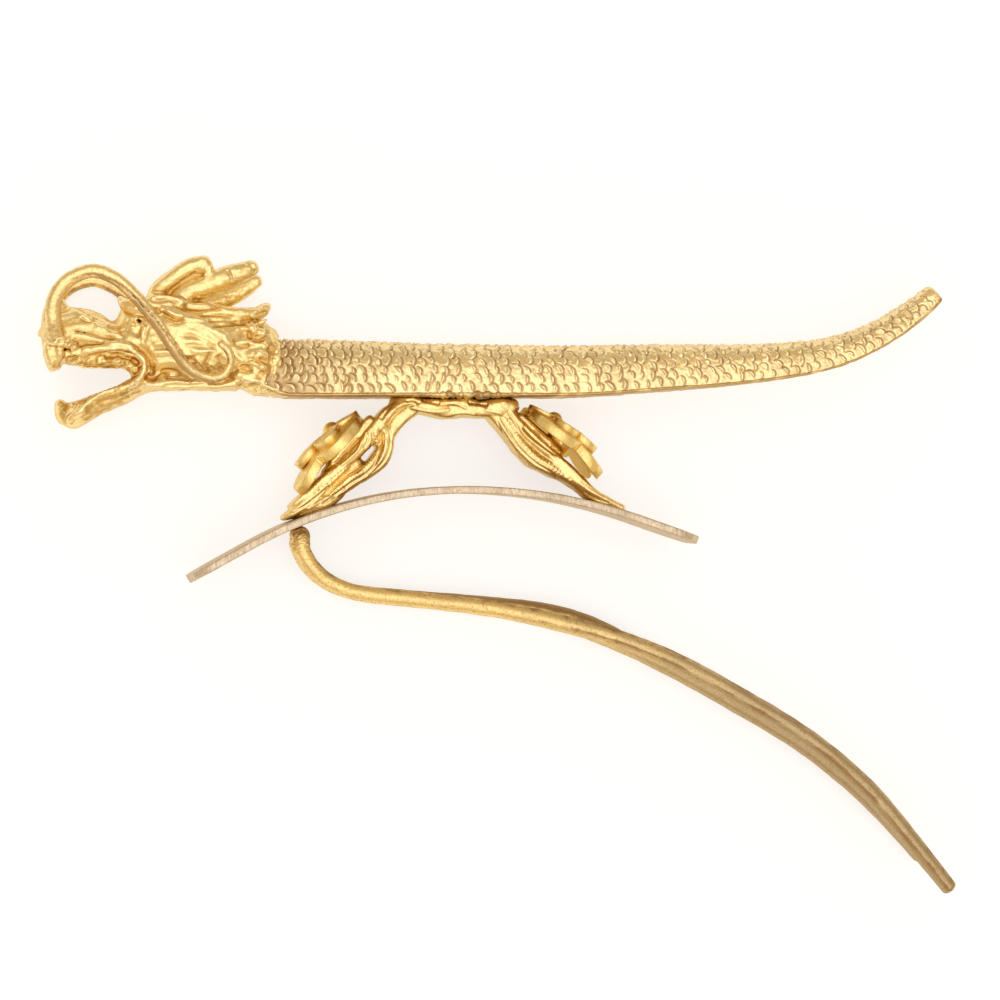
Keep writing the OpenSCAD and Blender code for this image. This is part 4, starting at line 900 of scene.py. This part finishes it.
# Bridge: cast brass scroll stand, with a bar under the body and two openwork legs with a beaded line.
# The bar is soldered to the closing sheet, and the feet to the plate.
# Strands of wax on the middle line: x, y, half height, half width as a share of the stand's
bridge_half_w = 2.6
bridge_strands = {
    "bar": [(-12.6, 11.5, 0.80, 0.85), (-11.2, 11.5, 0.95, 1.00), (-9.4, 11.2, 1.05, 0.95),
            (-6.8, 10.9, 1.30, 1.00), (-4.6, 11.1, 1.25, 1.00), (-2.4, 10.9, 1.15, 0.95),
            (-0.3, 11.0, 1.30, 1.00), (1.4, 11.3, 0.90, 0.85)],
    "front_back": [(-15.7, 9.6, 0.5, 0.8), (-17.2, 8.0, 0.65, 0.9), (-18.9, 6.1, 0.65, 0.9),
                   (-20.3, 4.5, 0.5, 0.85)],
    "rear_back": [(2.2, 10.0, 0.5, 0.8), (4.0, 8.3, 0.65, 0.9), (5.8, 6.7, 0.65, 0.9),
                  (7.0, 5.6, 0.5, 0.85)],
    "front_outer": [(-12.0, 11.3, 0.80, 0.90), (-13.6, 10.2, 0.90, 0.95), (-15.1, 8.5, 0.95, 1.00),
                    (-16.6, 6.7, 1.00, 1.00), (-18.4, 4.8, 0.95, 1.00), (-20.3, 2.7, 0.90, 1.00),
                    (-22.3, 0.6, 0.85, 1.00), (-24.5, -1.3, 0.65, 1.00), (-26.0, -2.1, 0.35, 0.80)],
    "front_fill": [(-19.6, 4.8, 0.40, 0.75), (-20.4, 4.0, 0.45, 0.80), (-21.1, 3.2, 0.35, 0.75)],
    "front_leaf": [(-20.0, 3.7, 0.5, 0.95), (-21.8, 2.0, 0.55, 0.98), (-23.4, 0.6, 0.5, 0.95),
                   (-24.7, -0.4, 0.35, 0.85), (-25.3, -0.8, 0.2, 0.7)],
    "front_inner": [(-10.4, 11.0, 0.90, 0.90), (-12.2, 9.7, 1.00, 0.90), (-13.4, 7.9, 0.80, 0.95),
                    (-13.9, 6.2, 1.00, 1.00), (-14.7, 4.7, 1.10, 1.00), (-16.1, 3.5, 1.00, 1.00),
                    (-17.9, 2.4, 0.95, 1.00), (-19.5, 1.2, 0.90, 0.95), (-21.0, 0.0, 0.70, 0.85)],
    "front_web_top": [(-13.6, 8.9, 0.90, 0.85), (-14.7, 7.4, 0.95, 0.85), (-15.0, 6.9, 0.6, 0.85)],
    "front_solder": [(-24.8, -1.8, 0.5, 0.7), (-22.5, -0.85, 0.82, 0.95), (-20.6, -0.05, 0.87, 1.0),
                     (-19.0, 0.75, 0.35, 0.7)],
    "rear_solder": [(10.4, 0.75, 0.4, 0.8), (11.4, 0.15, 0.5, 0.9), (12.6, -0.35, 0.55, 0.9),
                    (14.0, -0.9, 0.4, 0.7)],
    "front_web_foot": [(-17.2, 4.1, 1.00, 0.85), (-19.4, 2.0, 0.90, 0.80)],
    "rear_web": [(0.6, 9.6, 0.7, 0.80), (2.4, 7.4, 0.8, 0.80), (4.6, 5.4, 0.8, 0.80),
                 (7.0, 3.7, 0.7, 0.80)],
    "rear_outer": [(0.0, 11.2, 0.80, 0.90), (1.4, 9.4, 0.95, 0.95), (3.3, 7.5, 1.00, 1.00),
                   (5.5, 5.5, 1.00, 1.00), (7.7, 3.7, 0.95, 1.00), (9.6, 2.0, 0.85, 1.00),
                   (11.4, 0.6, 0.60, 1.00), (13.2, -0.35, 0.55, 0.95), (14.6, -1.0, 0.50, 0.85)],
    "rear_inner": [(-1.2, 10.5, 0.90, 0.90), (0.4, 8.8, 0.95, 0.90), (1.6, 7.2, 0.90, 0.95),
                   (2.8, 5.9, 1.05, 1.00), (4.2, 4.7, 1.00, 1.00), (6.1, 3.8, 1.00, 1.00),
                   (7.9, 2.9, 0.85, 0.95), (9.6, 1.6, 0.70, 0.90), (10.8, 0.5, 0.60, 0.80)]}
# Where each flower sits on the stand, and the way that it faces
front_seat, front_facing = (-20.0, 5.6), 138.3
rear_seat, rear_facing = (6.8, 6.9), 50.5
bridge_parts = []
for strand in bridge_strands.values():
    rows = [(x, y, 0, high, wide * bridge_half_w) for x, y, high, wide in strand]
    bridge_parts.append(tube(rows, 6, 24, square=0.55))
# Scrolls, leaf veins and beads on both faces: height, half width, how many beads, path in x and y
bridge_lines = [
    # front leg
    (0.16, 0.19, 28, [(-15.3, 8.5), (-15.0, 7.1), (-15.4, 5.7), (-16.0, 4.4), (-17.0, 3.3), (-18.5, 2.5),
                      (-19.6, 1.5), (-20.8, 0.5)]),
    (-0.16, 0.14, 0, [(-15.7, 8.3), (-15.5, 7.0), (-15.9, 5.7), (-16.5, 4.6), (-17.5, 3.7), (-18.9, 2.8),
                      (-20.1, 1.9)]),
    (-0.18, 0.16, 0, [(-14.8, 8.7), (-14.5, 7.0), (-14.9, 5.3), (-15.5, 3.9), (-16.7, 2.8), (-18.2, 1.9),
                      (-19.4, 0.9)]),
    (-0.14, 0.14, 0, [(-13.7, 9.0), (-13.4, 7.1), (-13.8, 5.3), (-14.8, 3.9), (-16.1, 2.7)]),
    (0.12, 0.17, 0, [(-14.2, 8.5), (-14.0, 7.0), (-14.3, 5.3), (-15.1, 4.0)]),
    (-0.14, 0.14, 0, [(-13.3, 11.2), (-14.0, 10.4), (-14.6, 9.5)]),
    (0.10, 0.16, 0, [(-12.7, 10.9), (-13.4, 9.9), (-13.8, 9.0)]),
    (-0.14, 0.13, 0, [(-16.3, 8.0), (-16.1, 7.1), (-16.6, 6.1)]),
    (0.12, 0.14, 0, [(-16.8, 7.1), (-17.3, 5.9), (-18.2, 5.0), (-19.4, 4.0)]),
    (-0.14, 0.14, 0, [(-17.5, 4.5), (-18.7, 3.8), (-19.9, 2.8), (-21.1, 1.8)]),
    (0.12, 0.16, 12, [(-18.2, 4.2), (-19.6, 3.1), (-21.1, 1.6), (-22.7, 0.2)]),
    (-0.12, 0.14, 0, [(-20.6, 1.7), (-22.0, 0.5), (-23.6, -0.7), (-25.3, -1.5)]),
    (0.12, 0.14, 0, [(-20.1, 0.9), (-21.8, -0.2), (-23.4, -1.2)]),
    (-0.12, 0.13, 0, [(-18.8, 1.5), (-20.2, 0.4), (-21.5, -0.6)]),
    # rear leg
    (0.15, 0.18, 26, [(0.1, 10.5), (1.0, 9.0), (1.8, 7.6), (2.9, 6.2), (4.2, 5.0), (5.7, 4.1), (7.1, 3.1),
                      (8.6, 1.9)]),
    (-0.16, 0.14, 0, [(0.5, 10.7), (1.5, 9.2), (2.3, 7.7), (3.4, 6.6), (4.7, 5.5), (6.3, 4.4)]),
    (-0.16, 0.14, 0, [(-0.4, 10.1), (0.5, 8.6), (1.3, 7.1), (2.4, 5.7), (3.9, 4.4), (5.4, 3.5),
                      (7.1, 2.4)]),
    (-0.13, 0.13, 0, [(-0.7, 9.5), (0.0, 8.0), (1.0, 6.4), (2.2, 5.0), (3.6, 3.8)]),
    (0.12, 0.16, 0, [(1.9, 8.6), (3.0, 7.4), (4.5, 6.3), (5.9, 5.3)]),
    (-0.12, 0.13, 0, [(2.4, 8.8), (3.5, 7.6), (4.9, 6.4), (6.4, 5.3)]),
    (0.10, 0.14, 0, [(9.1, 2.2), (10.5, 1.1), (12.2, 0.2)]),
    (-0.12, 0.13, 0, [(9.8, 1.0), (11.2, 0.2), (12.9, -0.4)]),
    # front leg again, over the lines above
    (0.14, 0.22, 0, [(-11.4, 11.6), (-12.8, 10.9), (-13.8, 9.9), (-14.3, 9.0)]),
    (-0.20, 0.14, 0, [(-10.6, 11.3), (-12.0, 10.8), (-13.2, 9.8), (-13.9, 8.6)]),
    (-0.16, 0.12, 0, [(-17.2, 7.4), (-18.6, 5.8), (-20.0, 4.2)]),
    (0.10, 0.12, 14, [(-16.6, 3.4), (-18.0, 2.5), (-19.3, 1.6)]),
    # bar
    (-0.26, 0.24, 0, [(-9.7, 12.0), (-8.6, 11.7), (-7.5, 11.4)]),
    (-0.30, 0.26, 0, [(-4.2, 11.6), (-3.0, 11.6), (-1.8, 11.3)]),
    (0.14, 0.24, 0, [(-11.1, 11.0), (-8.7, 10.5), (-6.3, 10.7)]),
    (-0.14, 0.16, 0, [(-7.5, 11.3), (-5.7, 11.4), (-4.2, 10.8)]),
    (0.10, 0.17, 0, [(-2.3, 10.7), (-0.6, 10.4), (0.4, 9.8)]),
    (-0.14, 0.17, 0, [(-11.7, 11.7), (-10.6, 11.8), (-9.9, 11.4)]),
    (0.10, 0.19, 0, [(-6.1, 10.2), (-4.7, 10.3), (-3.2, 10.1)])]
# A round boss carries each flower
boss_r, boss_from, boss_to = 1.6, -1.5, 0.6
for (x, y), facing in ((front_seat, front_facing), (rear_seat, rear_facing)):
    dx, dy = math.cos(math.radians(facing)), math.sin(math.radians(facing))
    boss = [(x + t * dx, y + t * dy, 0, boss_r, boss_r) for t in (boss_from, boss_to)]
    bridge_parts.append(tube(boss, 4, 20, (20,)))
bridge_voxel, under_sheet = 0.109, 12.3
bridge = cast(bridge_parts, bridge_voxel)
bridge.ease(4)
bridge.push(0.06 * bridge.grain(1.3, 2) + 0.015 * bridge.grain(0.4, 4))
bridge.aim()
for height, width, beads, path in bridge_lines:
    bridge.push(bridge.line(path, height, width, fade=0.08, beads=beads))
bridge.ease(1, 0.3)
bridge.points[:, 1] = np.minimum(bridge.points[:, 1], under_sheet)
bridge.aim()
# Painted shade and dirt in the hollows and creases of the casting
bridge.find_hollows(10, 0.2)
# The painted shade is lighter at the feet than on the rest
bridge.hollow *= np.clip(0.4 + (bridge.points[:, 1] - 1.5) / 4, 0.4, 1)
show("bridge_casting", bridge, gilt, "gilt", "bridge")


# Flowers: a domed brass plate with five lobes, five cupped petals and a knob, soldered together, gilt
# and brushed. Each is soldered to a boss of the stand.
flower_r, lobe_r, flower_dome, flower_t, flower_top, flower_shift = 6.55, 2.7, 18.0, 1.15, 2.0, 0.35
petal_r, petal_out, petal_t, petal_droop, petal_sink, petal_shift = 1.8, 3.1, 0.8, 8, 0.5, 0.6
petal_cup, petal_foot = 0.28, -0.2
bloom_tilt, knob_r, knob_lift, knob_shift = -7, 1.1, 0.5, 1.2


def turned(points, degrees, axis):
    return np.asarray(points) @ np.array(Matrix.Rotation(math.radians(degrees), 3, axis)).T


def lobed(angle, reach, lobe, main):
    """Distance from the middle to a five-lobed outline at this angle. The lobe at main is the widest."""
    off = angle - math.radians(main)
    near = (off - 0.36 * np.sin(off) + math.radians(36)) % math.radians(72) - math.radians(36)
    inner = reach - lobe
    return inner * np.cos(near) + np.sqrt(np.maximum(lobe ** 2 - (inner * np.sin(near)) ** 2, 0.05))


def disc(outline, over, under, rings, sides, bevel=0.12):
    """A closed plate: over and under give the height of its faces at x and y."""
    a = 2 * math.pi * np.arange(sides) / sides
    reach = outline(a)
    points, steps = [], []
    for r in np.linspace(0.06, 1, rings):
        steps.append((reach * r - (bevel if r == 1 else 0), over, 0))
    steps.append((reach - 0.3 * bevel, over, -0.35 * bevel))
    steps.append((reach, over, -bevel))
    steps.append((reach, under, bevel))
    steps.append((reach - 0.3 * bevel, under, 0.35 * bevel))
    for r in np.linspace(1, 0.06, rings):
        steps.append((reach * r - (bevel if r == 1 else 0), under, 0))
    for radius, height, off in steps:
        x, y = radius * np.cos(a), radius * np.sin(a)
        points.append(np.stack([x, y, height(x, y) + off], axis=1))
    n = len(steps)
    quads = []
    for i in range(n - 1):
        for k in range(sides):
            here, other = i * sides, (k + 1) % sides
            quads.append((here + k, here + sides + k, here + sides + other, here + other))
    for i, way in ((0, 1), (n - 1, -1)):
        for k in range(1, sides - 2, 2):
            quads.append(tuple([i * sides, i * sides + k, i * sides + k + 1, i * sides + k + 2][::way]))
    return np.vstack(points), quads


def domed(radius):
    """Height of a dome that is struck from the flower's own middle."""
    return lambda x, y: flower_top - flower_dome + np.sqrt(radius ** 2 - (x + flower_shift) ** 2 - y ** 2)


def cup(x, y):
    return petal_t - petal_cup * (1 - np.clip(np.hypot(x, y) / petal_r, 0, 1) ** 3)


def on_bloom(points):
    """Petals and knob lean a little together over the plate."""
    return turned(points, bloom_tilt, "Y") + (-petal_shift, 0, flower_top - petal_sink)


def flower_form(main, first_petal):
    """Plate, petals and knob, facing up. The widest lobe points to main, in degrees."""
    plate, faces = disc(lambda a: lobed(a, flower_r, lobe_r, main), domed(flower_dome),
                        domed(flower_dome - flower_t), 24, 200)
    parts = [(plate + (flower_shift, 0, 0), faces)]
    for turn in range(first_petal, first_petal + 360, 72):
        petal, faces = disc(lambda a: petal_r * (1 + 0.04 * np.cos(3 * a)), cup,
                            lambda x, y: 0 * x + petal_foot, 10, 48)
        petal = turned(petal, petal_droop, "Y") + (petal_out, 0, 0)
        parts.append((on_bloom(turned(petal, turn, "Z")), faces))
    knob, faces = blob((-knob_shift, 0, knob_lift), (knob_r, knob_r, knob_r), 14, 20)
    parts.append((on_bloom(knob), faces))
    return joined(parts)


brushed_gilt = satin_gold("gilt_brushed", (0.98, 0.75, 0.31), (0.74, 0.46, 0.09), 0.32, shade_and_grime=0.7,
                          specks=0.25, filed=0.25)
# Seat, way that it faces, quarter turn that puts its widest lobes down the leg, widest lobe, first petal,
# place in the noise
flowers = {"flower_front": (front_seat, front_facing, 90, 121, 18, 3),
           "flower_rear": (rear_seat, rear_facing, -90, 239, 54, 8)}
for name, (seat, facing, down, main, first_petal, lumps) in flowers.items():
    points, faces = flower_form(main, first_petal)
    points = turned(turned(turned(points, down, "Z"), 90, "Y"), facing, "Z") + (seat[0], seat[1], 0)
    quads = [face if len(face) == 4 else face + face[-1:] for face in faces]
    flower = Skin(points, np.array(quads))
    flower.push(0.03 * flower.grain(1.2, lumps) + 0.012 * flower.grain(0.35, 5))
    # The lowest lobes rest on the table
    flower.points[:, 2] = np.maximum(flower.points[:, 2], table_level)
    flower.aim()
    # Painted shade: the underside, turned away from where the flower faces, is browner
    away = flower.normal[:, :2] @ (-math.cos(math.radians(facing)), -math.sin(math.radians(facing)))
    flower.hollow = np.clip(1.6 * away, 0, 1)
    show(name + "_blossom", flower, brushed_gilt, "gilt", name)


# Base plate: brass sheet cut with round ends and bowed to the wearer's head, its edges filed. The stand
# is soldered on top and the fork underneath.
# Each half is an arc of this radius and angle, and a flat end
plate_w, plate_t, plate_crown = 10.8, 0.9, (-4.6, 1.65)
plate_front = dict(r=53, a=29, flat=10)
plate_rear = dict(r=64, a=19, flat=8)
plate_ends, plate_corner, plate_bevel = (-37.4, 23.8), 3.0, 0.14


def bow_line(arc_steps, flat_steps):
    """Points and outward directions along the plate's upper face, from front to rear."""
    halves = []
    for bow, way in ((plate_front, -1), (plate_rear, 1)):
        last = math.radians(bow["a"])
        turn = np.append(np.linspace(0, last, arc_steps), np.full(flat_steps, last))
        flat = np.append(np.zeros(arc_steps), np.linspace(0.5, bow["flat"], flat_steps))
        out = np.stack([way * np.sin(turn), np.cos(turn)], axis=1)
        ahead = np.stack([way * np.cos(turn), -np.sin(turn)], axis=1)
        points = np.array(plate_crown) + bow["r"] * (out - (0, 1)) + flat[:, None] * ahead
        halves.append((points, out))
    (front, front_out), (rear, rear_out) = halves
    return np.vstack([front[::-1], rear[1:]]), np.vstack([front_out[::-1], rear_out[1:]])


line, out = bow_line(60, 20)
front_end, rear_end = plate_ends
round_in = plate_corner * (1 - np.cos(np.linspace(0, math.pi / 2, 14)))
round_out = plate_corner * (1 - np.cos(np.linspace(math.pi / 2, 0, 14)))
x_fine = np.concatenate([front_end + round_in,
                         np.linspace(front_end + plate_corner, rear_end - plate_corner, 170)[1:-1],
                         rear_end - round_out])
middle_y = np.interp(x_fine, line[:, 0], line[:, 1])
out_x, out_y = (np.interp(x_fine, line[:, 0], out[:, k]) for k in (0, 1))
in_corner = np.clip(plate_corner - np.minimum(x_fine - front_end, rear_end - x_fine), 0, None)
half = plate_w / 2 - plate_corner + np.sqrt(np.clip(plate_corner ** 2 - in_corner ** 2, 0, None))
# Section of the plate: share of the half width, inset, and offset from the upper face
soft, low = 0.4 * plate_bevel, 0.15 * plate_bevel
left_edge = [(1, -plate_bevel, 0), (1, -soft, -low), (1, 0, -plate_bevel), (1, 0, -0.5 * plate_t),
             (1, 0, plate_bevel - plate_t), (1, -soft, low - plate_t), (1, -plate_bevel, -plate_t)]
right_edge = [(-1, -inset, off) for _, inset, off in left_edge[::-1]]
shares = (0.8, 0.55, 0.3, 0, -0.3, -0.55, -0.8)
section = left_edge + [(k, 0, -plate_t) for k in shares] + right_edge + [(-k, 0, 0) for k in shares]
rings = []
for i, x in enumerate(x_fine):
    shrink = min(1.0, half[i] / 0.5)
    rings.append([(x + out_x[i] * off, middle_y[i] + out_y[i] * off, k * half[i] + inset * shrink)
                  for k, inset, off in section])
plate = lofted(np.array(rings))
plate.push(0.015 * plate.grain(2.2, 6))
plate.aim()
filed_brass = satin_gold("filed_brass", (0.74, 0.61, 0.46), (0.37, 0.27, 0.17), 0.44, shade_and_grime=0.6,
                         specks=0.3, filed=0.4)
show("base_plate_filed", plate, filed_brass, "fork_brass", "base_plate")


# Hair fork: one round brass wire, drawn and then bent under the plate into two prongs by hand. It is
# soldered to the plate, and dull and brown where it is worn.
# Prongs: x, y, share of the wire's thickness
left_prong = [
    (-23.9, -5.9, 0.95), (-23.05, -7.5, 0.95), (-21.4, -9.2, 0.95), (-18.8, -10.55, 0.95),
    (-15.5, -11.2, 0.95), (-8.2, -12.0, 0.95), (0.4, -13.2, 1.0), (11.2, -15.8, 1.05), (19.8, -19.0, 1.1),
    (29.5, -24.2, 1.1), (37.6, -29.3, 1.1), (44.3, -35.1, 1.15), (49.1, -40.7, 1.1), (54.2, -46.9, 0.95)]
right_prong = [
    (-23.8, -6.0, 0.95), (-22.9, -7.7, 0.95), (-21.2, -9.4, 0.95), (-18.5, -10.75, 0.95),
    (-15.2, -11.4, 0.95), (-7.9, -12.1, 0.95), (4.0, -13.3, 1.05), (11.4, -15.5, 1.45),
    (19.5, -19.4, 1.1), (29.0, -24.6, 1.05), (38.1, -30.1, 1.0), (44.9, -35.4, 1.0), (50.2, -40.6, 0.95),
    (53.6, -44.4, 0.9)]
wire_d, fork_gap, fork_splay = 2.0, 8.8, 1.0
fork_root, root_share, fork_corner = -24.0, 0.95, 1.2


def prong(rows, side):
    """Rows of one prong; the two splay towards their tips."""
    line = curve_through(rows, 2)
    last = len(line) - 1
    return [(x, y, side * (fork_gap + fork_splay * i / last) / 2, k * wire_d / 2, k * wire_d / 2)
            for i, (x, y, k) in enumerate(line)]


def corner(side, degrees):
    """A row of the bend between a prong and the bar that crosses under the plate."""
    r = root_share * wire_d / 2
    reach = fork_root - plate_crown[0]
    bar_r = plate_front["r"] - plate_t - solder_gap - r
    crown = plate_crown[1] - plate_front["r"] + math.sqrt(bar_r ** 2 - reach ** 2)
    a = math.radians(degrees)
    y = crown - fork_corner * (1 - math.sin(a))
    return fork_root, y, side * (fork_gap / 2 - fork_corner * (1 - math.cos(a))), r, r


fork_rows = (prong(left_prong, 1)[::-1] + [corner(1, a) for a in (0, 30, 60, 90)]
             + [corner(-1, a) for a in (90, 60, 30, 0)] + prong(right_prong, -1))
fork = skin_of(tube(fork_rows, 14, 40, (25, 45, 60, 72, 82, 88), blunt=0.5))
fork.push(0.035 * fork.grain(2.4, 11) + 0.016 * fork.grain(0.5, 2))
# Small pits, and rough solder at the root
fork_pits, dent, root_solder = 110, 0.07, -6.2
for pit in fork.points[rng.integers(0, len(fork.points), fork_pits)]:
    fork.push(-dent * np.exp(-(((fork.points - pit) ** 2).sum(axis=1) / rng.uniform(0.1, 0.2) ** 2)))
fork.push(0.07 * fork.grain(0.25, 5) * np.clip(fork.points[:, 1] - root_solder, 0, 1))
fork.aim()
fork.find_hollows(8, 0.04)
# Painted shade: brown all round but on the upper side, which faces the light as it lies, and in the
# creases, with some random tone
turned_away = (1 - np.clip(fork.normal @ (-0.2, -0.35, 0.9), 0, 1)) ** 1.3
brown = turned_away * (0.8 + 0.4 * fork.grain(3.0, 21)) + 0.3 * fork.grain(0.8, 4)
fork.hollow = np.clip(0.3 * fork.hollow + brown, -0.3, 1)
# Painted reflection: a darker streak under the middle of the left prong; painted shadow on the far prong
# where the near prong lies closest over it
downhill = fork.normal @ (-0.45, -0.89, 0)
streak = np.exp(-((downhill - 0.30) / 0.17) ** 2) * np.clip((fork.points[:, 0] + 2) / 14, 0, 1)
streak *= (fork.points[:, 2] > 0) * (1 + 0.8 * fork.grain(np.array((3.0, 3.0, 1.0)), 33))
between = np.clip(-downhill, 0, 1) ** 0.7 * (fork.points[:, 2] < 0)
fork.hollow = np.clip(fork.hollow + 0.9 * streak + 1.3 * between, -0.3, 1)
dull_brass = satin_gold("dull_brass", (0.94, 0.69, 0.30), (0.32, 0.19, 0.08), 0.41, shade_and_grime=0.8,
                        specks=0.55, tip=(0.50, 0.37, 0.21))
show("hair_fork_wire", fork, dull_brass, "fork_brass", "hair_fork")
